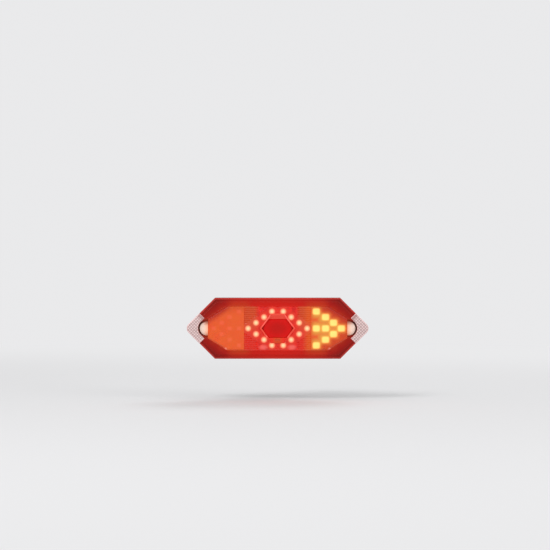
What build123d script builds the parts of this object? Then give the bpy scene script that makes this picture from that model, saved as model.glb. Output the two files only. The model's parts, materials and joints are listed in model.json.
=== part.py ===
from build123d import *
import math
import os

# A bicycle rear light with turn signals, on a band bracket for a round seatpost.
# Lengths are in millimetres and angles in degrees.
# +Z is up along the seatpost, +X is across the bicycle, and the light shines towards -Y.
# The origin is on the seatpost's axis, level with the middle of the light.

os.makedirs("parts", exist_ok=True)

# Fits
fit_gap = 0.1                  # between pieces that are assembled and stay still
run_gap = 0.05                 # radial, between a shaft and the hole that turns on it
side_gap = 0.05                # each side of a tongue that turns between two ears
swing_gap = 0.5                # ahead of a rounded end that turns
overrun = 1.0                  # how far a cut runs past the face it starts from

# Casing outline, seen from behind the bicycle
body_tip_beyond_lens = 13.2    # from the middle of the lens tip to the casing's tip
body_band = 5.7                # from the lens to the casing's top and bottom
body_angle = 45.0              # of the four sloping sides
body_tip_radius = 3.9
casing_wall = 1.8

# Rear shell
shell_depth = 13.6
shell_chamfer = 1.2
floor_block_half_length = 14.0
floor_block_half_height = 10.0
floor_block_height = 1.8
panel_inner_x = 16.0           # shallow panels in the back, one each side of the shoe
panel_outer_x = 37.0
panel_half_height = 11.0
panel_corner_radius = 2.5
panel_depth = 0.4
panel_rib_count = 6
panel_rib_width = 1.2
board_post_x = 20.0
board_post_inset = 1.3         # from the light board's top and bottom
board_post_radius = 1.5

# Joint between the shell and the bezel
gasket_thickness = 0.8
gasket_outer_inset = 0.6
gasket_width = 1.2
housing_screw_setback = 3.3    # from the middle of the lens tip
housing_screw_inset = 4.0      # from the casing's sloping side
housing_screw_radius = 1.2
housing_head_radius = 2.2
housing_head_height = 1.6
housing_head_sunk = 0.4
shell_boss_radius = 2.9
bezel_boss_radius = 2.2
screw_end_space = 0.3

# Front bezel
bezel_wall = 2.9
bezel_base_depth = 7.0
bezel_plate = 2.4
bezel_chamfer = 1.0
tier_inset = 2.4
tier_height = 0.8
tier_chamfer = 0.5
rim_width = 0.7
rim_height = 0.8

# Lens, in five zones
lens_above_rows = 3.2          # from the outer rows of diodes to the lens edge
lens_angle = 32.0              # of the four sides that run to the tips
lens_tip_beyond_arrow = 4.6    # from an arrow's foremost diode to the middle of the lens tip
lens_tip_radius = 5.1
lens_proud = 1.0
lens_thickness = 2.0
lens_wall = 1.2
lens_chamfer = 0.8
flange_width = 1.2
flange_thickness = 1.2
red_beyond_ring = 2.7          # from the ring's outermost diode to the end of the red zone
tip_zone_setback = 0.7         # from the middle of the lens tip back to the amber zone
dome_radius = 4.6
dome_height = 0.9
dome_edge_radius = 1.5
land_beyond_ring = 2.2         # the smooth land reaches past the ring's first diodes
land_inset = 0.3               # and stops short of the lens edge
corner_drop = 0.4
rib_length = 9.0
rib_pitch = 1.3
rib_depth = 0.35
optic_pitch = 1.4              # of the upright grooves in the amber zones' inner faces
optic_depth = 0.3

# Silver end caps
cap_arm_beyond_lens = 4.9      # from the middle of the lens tip to the end of each arm
cap_dome_gap = 1.2             # the dark groove between the cap and the tip lens
cap_proud = 0.6
cap_plate = 2.2
cap_skirt_thickness = 1.6
cap_skirt_depth = 5.2
cap_edge_radius = 0.45

# Hexagonal frame and power button
hex_angle = 53.0
ridge_reach = 10.7
ridge_half_height = 8.9
ridge_width = 0.8
ridge_proud = 0.6
ridge_chamfer = 0.3
frame_tab_width = 1.0
frame_tab_half_height = 4.0
frame_tab_thickness = 1.2
frame_depth = 4.0
button_reach = 10.1
button_half_height = 6.0
button_gap = 0.15
button_sunk = 1.4              # of the button's face, below the frame's ridge
button_travel = 0.6
button_flange_width = 0.7
button_flange_thickness = 1.3
button_corner_radius = 0.4
button_stem_radius = 2.0
button_stem_length = 2.3
seal_outer_radius = 6.0
seal_bore_gap = 0.3
seal_thickness = 1.2

# Charge light: a clear pipe through the frame's lower slope, over a diode of its own
pipe_length = 3.2
pipe_height = 1.4
pipe_from_button = 0.95
charge_diode_length = 1.6
charge_diode_height = 0.8
pipe_diode_space = 0.2

# Switch behind the button
switch_side = 6.0
switch_height = 1.6
switch_floor = 0.2
plunger_radius = 1.4
plunger_end_space = 0.1        # left ahead of the switch's floor when the button is down

# Reflector tray
tray_height = 3.4
tray_foot = 1.2
tray_plate = 1.4
tray_skirt = 1.2
cup_front_radius = 2.1
baffle_thickness = 1.0
baffle_end_gap = 0.4

# Light-emitting diodes
led_radius = 1.55
led_barrel = 3.4
led_base_radius = 1.85
led_base_height = 0.7
led_hole_gap = 0.2
row_pitch = 3.7
ring_first_x = 3.7
ring_pitch = 5.2
arrow_beyond_red = 3.3         # from the red zone's end to an arrow's first diodes
arrow_length = 16.4
arrow_column_shares = [0.0, 0.37, 0.69, 1.0]

# Light board and what is soldered to its back
board_thickness = 1.6
board_top_grow = 2.0           # past the lens's top and bottom
board_side_grow = 0.6          # past the lens's sloping sides
chip_height = 1.0
controller_side = 7.0
controller_x = 10.0
driver_length = 5.0
driver_width = 4.0
driver_x = 24.0
driver_y = 6.0
radio_length = 14.0
radio_width = 9.0
radio_height = 1.2
radio_from_port = 2.0
radio_below_lens = 5.3

# Battery
battery_end_space = 2.1        # from the screw bosses
battery_side_space = 1.0       # from the board posts
battery_front_space = 1.2      # from the chips
battery_edge_radius = 1.5
pad_foam_thickness = 0.5
plug_length = 5.0
plug_width = 5.0
plug_height = 3.0
plug_from_charge_board = 2.5
lead_length = 5.0              # from the plug's edge to the cell
lead_radius = 0.6
lead_half_pitch = 1.2
lead_bend_share = 0.65         # of the rise from the cell's middle to the plug

# Charging board, its socket and the link to the light board
port_depth = 7.4               # of the socket's centre, ahead of the casing's back
charge_board_end_space = 0.6   # from the screw bosses
charge_board_half_length = 7.5
charge_board_height = 13.8
charge_board_rise = 0.8        # above the block that holds the cover's hinge
charge_board_thickness = 1.0
charge_post_radius = 1.5
charge_post_inset = 2.0
socket_length = 8.9
socket_depth = 7.3
socket_height = 3.2
socket_shell = 0.35
socket_wall_gap = 0.3
socket_tongue_thickness = 0.7
socket_tongue_length = 5.0
link_length = 10.0
link_width = 2.5
link_from_top = 3.0

# Hinged cover of the charging port
port_hole_length = 10.0
port_hole_width = 4.4
insert_gap = 0.3
insert_height = 1.15
cover_half_length = 7.3
cover_thickness = 0.9
cover_gap = 0.2
cover_seat_gap = 0.08          # between the closed cover and the floor of its pocket
cover_front_depth = 10.7
cover_plate_back_depth = 5.0
cover_groove_count = 3
cover_groove_pitch = 0.9
cover_groove_width = 0.4
cover_groove_depth = 0.3
cover_groove_half_length = 5.0
cover_groove_from_edge = 1.9   # of the first groove, from the free edge
nail_notch_half_length = 2.4
nail_notch_width = 0.9
nail_notch_depth = 0.5
hinge_depth = 3.3
hinge_from_face = 0.8
hinge_barrel_radius = 0.9
hinge_barrel_half_length = 5.1
hinge_pin_radius = 0.5
hinge_pin_half_length = 7.2
hinge_cheek_front_gap = 0.4
hinge_block_height = 1.6
hinge_block_front_depth = 5.2

# Seatpost, pad and bracket
post_radius = 13.6
pad_thickness = 1.9
pad_flange_height = 1.0
pad_flange_reach = 3.2
pad_end_angle = 4.0            # from the pad's end to the saddle's end
saddle_wall = 3.2
saddle_half_height = 12.0
saddle_half_angle = 50.0
saddle_corner_radius = 2.5

# Tilting joint
pivot_radius = 2.0
knuckle_radius = 4.2
ear_thickness = 2.75
tongue_half_width = 2.5
tilt_head_radius = 3.4
tilt_head_height = 2.4
tilt_socket_flats = 2.5
tilt_socket_depth = 1.3
tilt_nut_flats = 7.0
tilt_nut_height = 2.6
tilt_thread_end = 0.6

# Shoe on the back of the light
shoe_half_length = 13.0
shoe_half_height = 9.0
shoe_thickness = 2.5
shoe_corner_radius = 2.5
shoe_web_half_height = 5.5
shoe_screw_x = 9.5
shoe_screw_y = 6.0
shoe_screw_radius = 1.2
shoe_hole_gap = 0.25
shoe_head_radius = 2.2
shoe_head_height = 1.3
shoe_screw_grip = 3.2

# Band round the seatpost
band_thickness = 2.0
band_half_width = 5.0
anchor_offset = 3.4            # of the pin, outside the seatpost's side
anchor_rise = 3.1              # of the pin, behind the saddle's end
anchor_knuckle_radius = 3.0
anchor_strap_overlap = 1.0
anchor_pin_radius = 1.25
anchor_ear_gap = 0.15
anchor_ear_thickness = 2.8
anchor_ear_radius = 3.2
anchor_pin_proud = 0.5
stem_radius = 2.4
stem_block_length = 6.0
stem_proud = 1.7               # past the dial nut

# Lug and dial nut that tighten the band
lug_beyond_stem = 6.5
lug_half_height = 6.5
lug_thickness = 3.9
lug_corner_radius = 2.5
lug_overlap = 0.5              # behind the saddle's end
lug_hole_gap = 0.2
washer_radius = 5.0
washer_thickness = 0.8
dial_radius = 7.0
dial_thickness = 6.1
dial_chamfer = 0.8
dial_notch_radius = 1.0
dial_notch_count = 14

# Cross slot in every screw head
slot_width = 0.6
slot_length = 2.6
slot_depth = 0.7


def sine(angle):
    return math.sin(math.radians(angle))


def tangent(angle):
    return math.tan(math.radians(angle))


def cosine(angle):
    return math.cos(math.radians(angle))


# Places across the light and up it, worked out from the diodes outwards
led_row_steps = len(arrow_column_shares) - 1
led_top = led_row_steps * row_pitch
ring_tip_x = ring_first_x + led_row_steps * ring_pitch
red_half_length = ring_tip_x + red_beyond_ring
arrow_tail_x = red_half_length + arrow_beyond_red
lens_tip_x = arrow_tail_x + arrow_length + lens_tip_beyond_arrow
lens_half_height = led_top + lens_above_rows
amber_end_x = lens_tip_x - tip_zone_setback
body_half_length = lens_tip_x + body_tip_beyond_lens
body_half_height = lens_half_height + body_band
body_reach = body_half_length + body_tip_radius * (1 / sine(body_angle) - 1)
board_half_height = lens_half_height + board_top_grow
board_post_y = board_half_height - board_post_inset
housing_screw_x = lens_tip_x - housing_screw_setback
housing_screw_y = (body_reach - housing_screw_x) * tangent(body_angle)
housing_screw_y -= housing_screw_inset / cosine(body_angle)
pipe_y = -button_half_height - pipe_from_button - pipe_height / 2
port_x = charge_board_half_length + charge_board_end_space + shell_boss_radius - housing_screw_x
charge_board_bottom = casing_wall + hinge_block_height + charge_board_rise - body_half_height
charge_board_top = charge_board_bottom + charge_board_height
plug_x = port_x + charge_board_half_length + plug_from_charge_board + plug_length / 2
battery_low_x = plug_x + plug_length / 2 + lead_length
battery_high_x = housing_screw_x - shell_boss_radius - battery_end_space
battery_half_height = board_post_y - board_post_radius - battery_side_space

# Places ahead of the seatpost's axis, worked out from the back of the light to its front
saddle_inner_radius = post_radius + pad_thickness + fit_gap
saddle_outer_radius = saddle_inner_radius + saddle_wall
pivot_front = saddle_outer_radius + swing_gap + knuckle_radius
shoe_back = pivot_front + knuckle_radius + swing_gap
lamp_back = shoe_back + shoe_thickness
floor_front = lamp_back + casing_wall
shell_front = lamp_back + shell_depth
bezel_back = shell_front + gasket_thickness
bezel_base = bezel_back + bezel_base_depth
plate_back = bezel_base - bezel_plate
tier_front = bezel_base + tier_height
rim_front = tier_front + rim_height
lens_front = rim_front + lens_proud
lens_ceiling = lens_front - lens_thickness
flange_back = plate_back - flange_thickness
board_front = flange_back - tray_height
board_back = board_front - board_thickness
tray_plate_back = board_front + tray_foot
tray_plate_front = tray_plate_back + tray_plate
cap_front = tier_front + cap_proud
ridge_front = lens_front + ridge_proud
frame_back = ridge_front - frame_depth
button_front = ridge_front - button_sunk
button_flange_front = frame_back - fit_gap
button_flange_back = button_flange_front - button_flange_thickness
stem_back = button_flange_back - button_stem_length
switch_front = board_front + switch_height
plunger_back = board_front + switch_floor + plunger_end_space + button_travel
port_front = lamp_back + port_depth
hinge_front = lamp_back + hinge_depth
hinge_y = hinge_from_face - body_half_height
charge_board_back = port_front - socket_height / 2 - charge_board_thickness
battery_back = floor_front + floor_block_height + pad_foam_thickness
battery_front = board_back - chip_height - battery_front_space
battery_lead_front = (battery_back + battery_front) / 2

# Places of the band and its dial nut, beside the seatpost and ahead of its axis
saddle_end_front = saddle_outer_radius * cosine(saddle_half_angle)
pad_half_angle = saddle_half_angle - pad_end_angle
anchor_x = -post_radius - anchor_offset
anchor_y = anchor_rise - saddle_end_front
stem_x = post_radius + band_thickness + stem_radius
lug_back = saddle_end_front - lug_overlap
lug_front = lug_back + lug_thickness
dial_back = lug_front + washer_thickness + side_gap
dial_front = dial_back + dial_thickness

# The light's own plane: its x is across, its y is up and its z runs ahead, away from the seatpost
LAMP = Plane.XZ
BOTTOM = (Align.CENTER, Align.CENTER, Align.MIN)
CORNER = (Align.MIN, Align.MIN, Align.MIN)


def slab(face, low, high):
    """Solid of a front-view face from one place along the depth to another."""
    return extrude(Pos(0, 0, low) * face, amount=high - low)


def bar(radius, low, high, x=0.0, y=0.0):
    """Round bar along the depth."""
    return Pos(x, y, low) * Cylinder(radius, high - low, align=BOTTOM)


def cross_bar(radius, low, high, y, z):
    """Round bar along X."""
    return Pos(low, y, z) * Rot(0, 90, 0) * Cylinder(radius, high - low, align=BOTTOM)


def block(x_low, x_high, y_low, y_high, z_low, z_high):
    """Box between two corners."""
    return Pos(x_low, y_low, z_low) * Box(x_high - x_low, y_high - y_low, z_high - z_low, align=CORNER)


def hexagon(reach, half_height, angle, tip_radius=0.0):
    """Flat-topped hexagon whose two tips, sharp or rounded, lie on the X axis."""
    flat = reach - half_height / tangent(angle)
    right = [(flat, -half_height), (reach, 0), (flat, half_height)]
    left = [(-x, y) for x, y in reversed(right)]
    face = make_face(Polyline(*right, *left, close=True))
    if tip_radius > 0:
        corners = face.vertices().sort_by(Axis.X)
        face = fillet([corners[0], corners[-1]], tip_radius)
    return face


def body_outline(grow=0.0):
    reach = body_reach + grow / sine(body_angle)
    return hexagon(reach, body_half_height + grow, body_angle, body_tip_radius + grow)


def lens_outline(grow=0.0):
    reach = lens_tip_x + (lens_tip_radius + grow) / sine(lens_angle)
    return hexagon(reach, lens_half_height + grow, lens_angle, lens_tip_radius + grow)


def tip_bar(radius, low, high):
    """Round bar along the depth, at the middle of the right lens tip."""
    return bar(radius, low, high, lens_tip_x)


def ridge_outline(grow=0.0):
    return hexagon(ridge_reach + grow / sine(hex_angle), ridge_half_height + grow, hex_angle)


def button_outline(grow=0.0):
    return hexagon(button_reach + grow / sine(hex_angle), button_half_height + grow, hex_angle)


def front_edges(solid):
    return solid.faces().sort_by(Axis.Z)[-1].edges()


def back_edges(solid):
    return solid.faces().sort_by(Axis.Z)[0].edges()


def four_places(x, y):
    return [(x, y), (-x, y), (-x, -y), (x, -y)]


def mirrored(solid):
    return mirror(solid, about=Plane.YZ)


def cross_slot(front):
    """Cross recess that runs from a screw head's outer face, at front, into the head."""
    arm = block(-slot_length / 2, slot_length / 2, -slot_width / 2, slot_width / 2, front, front + slot_depth)
    return arm + Rot(0, 0, 90) * arm


def back_screw(radius, head_radius, head_height, head_back, end):
    """Screw driven from behind: its head starts at head_back and its shank stops at end."""
    head = bar(head_radius, head_back, head_back + head_height)
    shank = bar(radius, head_back + head_height, end)
    return head + shank - cross_slot(head_back)


def arrow_places():
    """Right arrow: a head of slanting rows and a shaft of two."""
    places = []
    for index, share in enumerate(arrow_column_shares):
        x = arrow_tail_x + arrow_length * share
        height = led_top - index * row_pitch
        if index < led_row_steps:
            places.append((x, height))
            places.append((x, -height))
        if index != led_row_steps - 1:
            places.append((x, 0))
    return places


def ring_places():
    """Hexagonal ring round the button."""
    places = [(ring_tip_x, 0), (-ring_tip_x, 0)]
    for index in range(led_row_steps):
        places.extend(four_places(ring_first_x + ring_pitch * index, led_top - index * row_pitch))
    return places


def tip_places():
    return [(lens_tip_x, 0), (-lens_tip_x, 0)]


def led_group(places):
    """Round diodes with a collar at the foot and a domed nose, all standing on the light board."""
    diode = bar(led_base_radius, board_front, board_front + led_base_height)
    diode += bar(led_radius, board_front, board_front + led_barrel)
    diode += Pos(0, 0, board_front + led_barrel) * Sphere(led_radius)
    return Compound([(Pos(x, y, 0) * diode).solid() for x, y in places])


def cover_pocket():
    """Room for the port cover in the underside, with a deeper part for its hinge barrel."""
    low = -body_half_height
    floor = low + cover_thickness + cover_seat_gap
    half = cover_half_length + cover_gap
    front = lamp_back + cover_front_depth + cover_gap
    cheek_front = lamp_back + cover_plate_back_depth - hinge_cheek_front_gap
    plate = block(port_x - half, port_x + half, low - overrun, floor, cheek_front, front)
    reach = hinge_barrel_radius + cover_gap
    side = hinge_barrel_half_length + fit_gap
    barrel = block(
        port_x - side, port_x + side, low - overrun, hinge_y + reach, hinge_front - reach, cheek_front)
    return plate + barrel


def port_hole():
    half_length = port_hole_length / 2
    half_width = port_hole_width / 2
    low = -body_half_height
    return block(
        port_x - half_length, port_x + half_length, low, low + casing_wall + overrun,
        port_front - half_width, port_front + half_width)


def hinge_pin_bar(radius):
    half = hinge_pin_half_length
    return cross_bar(radius, port_x - half, port_x + half, hinge_y, hinge_front)


def charge_post_places():
    reach = charge_board_half_length - charge_post_inset
    y = charge_board_top - charge_post_inset
    return [(port_x - reach, y), (port_x + reach, y)]


def back_panels():
    """Two shallow panels in the shell's back, each with upright ribs left standing."""
    middle = (panel_inner_x + panel_outer_x) / 2
    length = panel_outer_x - panel_inner_x
    panel = RectangleRounded(length, 2 * panel_half_height, panel_corner_radius)
    pitch = length / (panel_rib_count + 1)
    rib = Rectangle(panel_rib_width, 2 * (panel_half_height - panel_corner_radius))
    for index in range(panel_rib_count):
        panel -= Pos((index + 1) * pitch - length / 2, 0) * rib
    return [slab(Pos(x, 0) * panel, lamp_back, lamp_back + panel_depth) for x in (middle, -middle)]


def make_rear_shell():
    shell = slab(body_outline(), lamp_back, shell_front)
    shell = chamfer(back_edges(shell), shell_chamfer)
    cavity = slab(body_outline(-casing_wall), floor_front, shell_front)
    shell -= cavity
    inside = block(
        -floor_block_half_length, floor_block_half_length, -floor_block_half_height, floor_block_half_height,
        floor_front, floor_front + floor_block_height)
    for x, y in four_places(board_post_x, board_post_y):
        inside += bar(board_post_radius, floor_front, board_back, x, y)
    for x, y in charge_post_places():
        inside += bar(charge_post_radius, floor_front, charge_board_back, x, y)
    wall_y = casing_wall - body_half_height
    half = cover_half_length + cover_gap
    inside += block(
        port_x - half, port_x + half, wall_y, wall_y + hinge_block_height,
        floor_front, lamp_back + hinge_block_front_depth)
    for x, y in four_places(housing_screw_x, housing_screw_y):
        inside += bar(shell_boss_radius, floor_front, shell_front, x, y) & cavity
    shell += inside
    head_room = housing_head_sunk + housing_head_height
    for x, y in four_places(housing_screw_x, housing_screw_y):
        shell -= bar(housing_screw_radius + fit_gap, lamp_back, shell_front, x, y)
        shell -= bar(housing_head_radius + fit_gap, lamp_back, lamp_back + head_room, x, y)
    for x, y in four_places(shoe_screw_x, shoe_screw_y):
        shell -= bar(shoe_screw_radius + run_gap, lamp_back, lamp_back + shoe_screw_grip, x, y)
    shell -= back_panels()
    return shell - cover_pocket() - port_hole() - hinge_pin_bar(hinge_pin_radius + run_gap)


def make_shell_gasket():
    inner = gasket_outer_inset + gasket_width
    ring = body_outline(-gasket_outer_inset) - body_outline(-inner)
    return slab(ring, shell_front, bezel_back)


def cap_face():
    """Right chevron: a band along the two sloping sides, with a round cut that clears the lens tip."""
    apex = 2 * (lens_tip_x + cap_arm_beyond_lens) - body_reach
    far = body_half_length
    sector = make_face(Polyline((apex, 0), (apex + far, far), (apex + far, -far), close=True))
    cut_radius = dome_radius + cap_dome_gap
    touch = cut_radius * sine(body_angle)
    x = lens_tip_x + touch
    wedge = make_face(Polyline(
        (x, touch), (x - far, touch + far), (x - far, -touch - far), (x, -touch), close=True))
    return (body_outline() & sector) - wedge - Pos(lens_tip_x, 0) * Circle(cut_radius)


def cap_solid(grow=0.0):
    """Cap plate and the skirt that wraps the casing's edge, larger by grow on its hidden faces."""
    face = cap_face()
    if grow > 0:
        face = offset(face, amount=grow, kind=Kind.INTERSECTION)
    plate_low = cap_front - cap_plate - grow
    skirt_low = cap_front - cap_plate - cap_skirt_depth - grow
    skirt_face = face - body_outline(-cap_skirt_thickness - grow)
    high = cap_front + grow
    return slab(face, plate_low, high) + slab(skirt_face, skirt_low, plate_low)


def make_end_cap():
    cap = cap_solid()
    return fillet(front_edges(cap), cap_edge_radius)


def make_front_bezel():
    base = slab(body_outline(), bezel_back, bezel_base)
    base = chamfer(front_edges(base), bezel_chamfer)
    tier = slab(body_outline(-tier_inset), bezel_base, tier_front)
    tier = chamfer(front_edges(tier), tier_chamfer)
    rim = slab(lens_outline(rim_width), bezel_base, rim_front)
    bezel = base + tier + rim
    cavity = slab(body_outline(-bezel_wall), bezel_back, plate_back)
    bezel -= cavity
    for x, y in four_places(housing_screw_x, housing_screw_y):
        bezel += bar(bezel_boss_radius, bezel_back, plate_back, x, y) & cavity
        bezel -= bar(housing_screw_radius + run_gap, bezel_back, plate_back, x, y)
    reach = amber_end_x + fit_gap
    opening = slab(lens_outline(fit_gap), plate_back, rim_front) & lens_zone(-reach, reach, rim_front)
    tip = cap_solid(fit_gap) + tip_bar(dome_radius + fit_gap, plate_back, rim_front)
    tip += tip_bar(dome_radius + cap_dome_gap, cap_front - cap_plate - fit_gap, rim_front)
    return bezel - opening - tip - mirrored(tip)


def make_housing_screws():
    start = lamp_back + housing_head_sunk
    end = plate_back - screw_end_space
    screw = back_screw(housing_screw_radius, housing_head_radius, housing_head_height, start, end)
    places = four_places(housing_screw_x, housing_screw_y)
    return Compound([(Pos(x, y, 0) * screw).solid() for x, y in places])


def lens_blank():
    """The whole lens before it is parted into its colours: a hollow cover with a flange."""
    blank = slab(lens_outline(), flange_back, lens_front)
    blank = chamfer(front_edges(blank), lens_chamfer)
    blank += slab(lens_outline(flange_width), flange_back, plate_back)
    return blank - slab(lens_outline(-lens_wall), flange_back, lens_ceiling)


def lens_zone(x_low, x_high, high):
    """Box that holds one colour of the lens."""
    reach = body_half_height
    return block(x_low, x_high, -reach, reach, flange_back, high)


def optic_cutters():
    """Upright V grooves in the right amber zone's inner face."""
    side = optic_depth * math.sqrt(2)
    face = slab(lens_outline(-lens_wall), lens_ceiling, lens_front)
    count = int((amber_end_x - lens_wall - red_half_length) / optic_pitch)
    cutters = []
    for index in range(count):
        x = red_half_length + (index + 1) * optic_pitch
        groove = Pos(x, 0, lens_ceiling) * Rot(0, 45, 0) * Box(side, 2 * lens_half_height, side)
        cutters.append(groove & face)
    return cutters


def make_amber_lens():
    """Amber zone, closed at its tip end but for the round opening that the tip lens covers."""
    wall = slab(lens_outline(), flange_back, lens_ceiling)
    wall -= tip_bar(dome_radius - lens_wall, flange_back, lens_ceiling)
    wall &= lens_zone(amber_end_x - lens_wall, amber_end_x, lens_front)
    zone = lens_blank() & lens_zone(red_half_length, amber_end_x, lens_front)
    return zone - optic_cutters() + wall


def make_tip_lens():
    """Clear tip: a low dome with a well rounded edge, on a flange that seats behind the bezel."""
    dome = tip_bar(dome_radius, flange_back, lens_front + dome_height)
    dome = fillet(front_edges(dome), dome_edge_radius)
    dome += slab(lens_outline(flange_width), flange_back, plate_back)
    dome -= tip_bar(dome_radius - lens_wall, flange_back, lens_ceiling)
    return dome & lens_zone(amber_end_x, body_half_length, lens_front + dome_height)


def rib_cutters():
    """V grooves across both sides of the red zone."""
    side = rib_depth * math.sqrt(2)
    middle = red_half_length - rib_length / 2
    count = int(lens_half_height / rib_pitch)
    surface = lens_front - corner_drop
    cutters = []
    for index in range(-count, count + 1):
        for x in (middle, -middle):
            cutters.append(Pos(x, index * rib_pitch, surface) * Rot(45, 0, 0) * Box(rib_length, side, side))
    return cutters


def land_outline():
    """Six-sided land whose sloping sides run along the ring of diodes."""
    slope = math.degrees(math.atan2(row_pitch, ring_pitch))
    half_height = lens_half_height - land_inset
    reach = ring_first_x + land_beyond_ring + half_height / tangent(slope)
    return hexagon(reach, half_height, slope)


def make_red_lens():
    """Red zone: a smooth land round the button, and ribbed corners that lie a little lower."""
    blank = lens_blank()
    corners = blank & lens_zone(-red_half_length, red_half_length, lens_front - corner_drop)
    corners -= rib_cutters()
    land = blank & lens_zone(-red_half_length, red_half_length, lens_front)
    land &= slab(land_outline(), flange_back, lens_front)
    return corners + land - slab(ridge_outline(ridge_width + fit_gap), flange_back, lens_front)


def frame_slope():
    """Funnel that the frame's sloping inner faces leave open, from the button out to the ridge."""
    return loft([
        Pos(0, 0, button_front) * button_outline(button_gap),
        Pos(0, 0, ridge_front) * ridge_outline()], ruled=True)


def pipe_bar(length, height, low, high):
    """Bar along the depth at the charge light, its ends rounded in front view."""
    return slab(Pos(0, pipe_y) * SlotOverall(length, height), low, high)


def make_charge_light_pipe():
    low = board_front + charge_diode_height + pipe_diode_space
    return pipe_bar(pipe_length, pipe_height, low, ridge_front) - frame_slope()


def make_charge_diode():
    half = charge_diode_length / 2
    side = pipe_height / 2
    return block(-half, half, pipe_y - side, pipe_y + side, board_front, board_front + charge_diode_height)


def make_hex_frame():
    """Frame round the button: sloping inner faces, and two tabs that hook behind the red zone."""
    body = slab(ridge_outline(ridge_width), frame_back, ridge_front)
    body = chamfer(front_edges(body), ridge_chamfer)
    tabs = slab(
        ridge_outline(ridge_width + frame_tab_width), lens_ceiling - frame_tab_thickness, lens_ceiling)
    reach = body_half_length
    half = frame_tab_half_height
    tabs &= block(-reach, reach, -half, half, frame_back, ridge_front)
    hole = slab(button_outline(button_gap), frame_back, ridge_front)
    hole += pipe_bar(pipe_length + 2 * run_gap, pipe_height + 2 * run_gap, frame_back, ridge_front)
    return body + tabs - hole - frame_slope()


def make_power_button():
    cap = slab(button_outline(), button_flange_front, button_front)
    cap = fillet(cap.edges().filter_by(Axis.Z), button_corner_radius)
    cap = chamfer(front_edges(cap), ridge_chamfer)
    flange = slab(button_outline(button_flange_width), button_flange_back, button_flange_front)
    return cap + flange + bar(button_stem_radius, stem_back, button_flange_back)


def make_button_seal():
    ring = Circle(seal_outer_radius) - Circle(button_stem_radius + seal_bore_gap)
    return slab(ring, tray_plate_front, tray_plate_front + seal_thickness)


def make_tact_switch():
    half = switch_side / 2
    body = block(-half, half, -half, half, board_front, switch_front)
    return body - bar(plunger_radius + run_gap, board_front + switch_floor, switch_front)


def make_switch_plunger():
    return bar(plunger_radius, plunger_back, stem_back)


def make_reflector_tray():
    outline = lens_outline(flange_width)
    skirt = slab(outline, board_front, flange_back)
    skirt -= slab(lens_outline(flange_width - tray_skirt), board_front, flange_back)
    tray = skirt + slab(outline, tray_plate_back, tray_plate_front)
    reach = lens_half_height - lens_wall - baffle_end_gap
    half = baffle_thickness / 2
    for x in (-red_half_length, red_half_length):
        tray += block(x - half, x + half, -reach, reach, tray_plate_back, lens_ceiling - fit_gap)
    left_arrow = [(-x, y) for x, y in arrow_places()]
    hole_radius = led_radius + led_hole_gap
    cup = Pos(0, 0, tray_plate_back) * Cone(hole_radius, cup_front_radius, tray_plate, align=BOTTOM)
    cups = [Pos(x, y, 0) * cup for x, y in arrow_places() + left_arrow + ring_places() + tip_places()]
    tray -= cups
    opening = switch_side / 2 + led_hole_gap
    tray -= block(-opening, opening, -opening, opening, tray_plate_back, tray_plate_front)
    grow = 2 * led_hole_gap
    return tray - pipe_bar(pipe_length + grow, pipe_height + grow, tray_plate_back, tray_plate_front)


def make_led_board():
    reach = lens_tip_x + (lens_tip_radius + board_side_grow) / sine(lens_angle)
    outline = hexagon(reach, board_half_height, lens_angle, lens_tip_radius + board_side_grow)
    return slab(outline, board_back, board_front)


def flat_chip(length, width, height, x, y):
    """Square-cornered package soldered to the back of the light board."""
    return block(
        x - length / 2, x + length / 2, y - width / 2, y + width / 2, board_back - height, board_back)


def make_control_chips():
    chips = [flat_chip(controller_side, controller_side, chip_height, controller_x, 0)]
    for y in (driver_y, -driver_y):
        chips.append(flat_chip(driver_length, driver_width, chip_height, driver_x, y))
    return Compound([chip.solid() for chip in chips])


def make_radio_module():
    x = port_x + radio_from_port
    return flat_chip(radio_length, radio_width, radio_height, x, lens_half_height - radio_below_lens)


def make_battery():
    half = battery_half_height
    cell = block(battery_low_x, battery_high_x, -half, half, battery_back, battery_front)
    return fillet(cell.edges().filter_by(Axis.Y), battery_edge_radius)


def make_battery_pad():
    start = floor_front + floor_block_height
    low = battery_low_x + battery_edge_radius
    half = floor_block_half_height
    return block(low, floor_block_half_length, -half, half, start, battery_back)


def make_battery_plug():
    return flat_chip(plug_length, plug_width, plug_height, plug_x, 0)


def make_battery_leads():
    """Two wires from the cell's end, round one bend, into the plug."""
    start = battery_low_x
    end = board_back - plug_height
    bend_radius = (end - battery_lead_front) * lead_bend_share
    wires = []
    for y in (lead_half_pitch, -lead_half_pitch):
        corner = (plug_x, y, battery_lead_front)
        path = FilletPolyline((start, y, battery_lead_front), corner, (plug_x, y, end), radius=bend_radius)
        section = Plane(origin=path @ 0, z_dir=path % 0) * Circle(lead_radius)
        wires.append(sweep(section, path=path).solid())
    return Compound(wires)


def make_charge_board():
    half = charge_board_half_length
    return block(
        port_x - half, port_x + half, charge_board_bottom, charge_board_top,
        charge_board_back, charge_board_back + charge_board_thickness)


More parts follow.
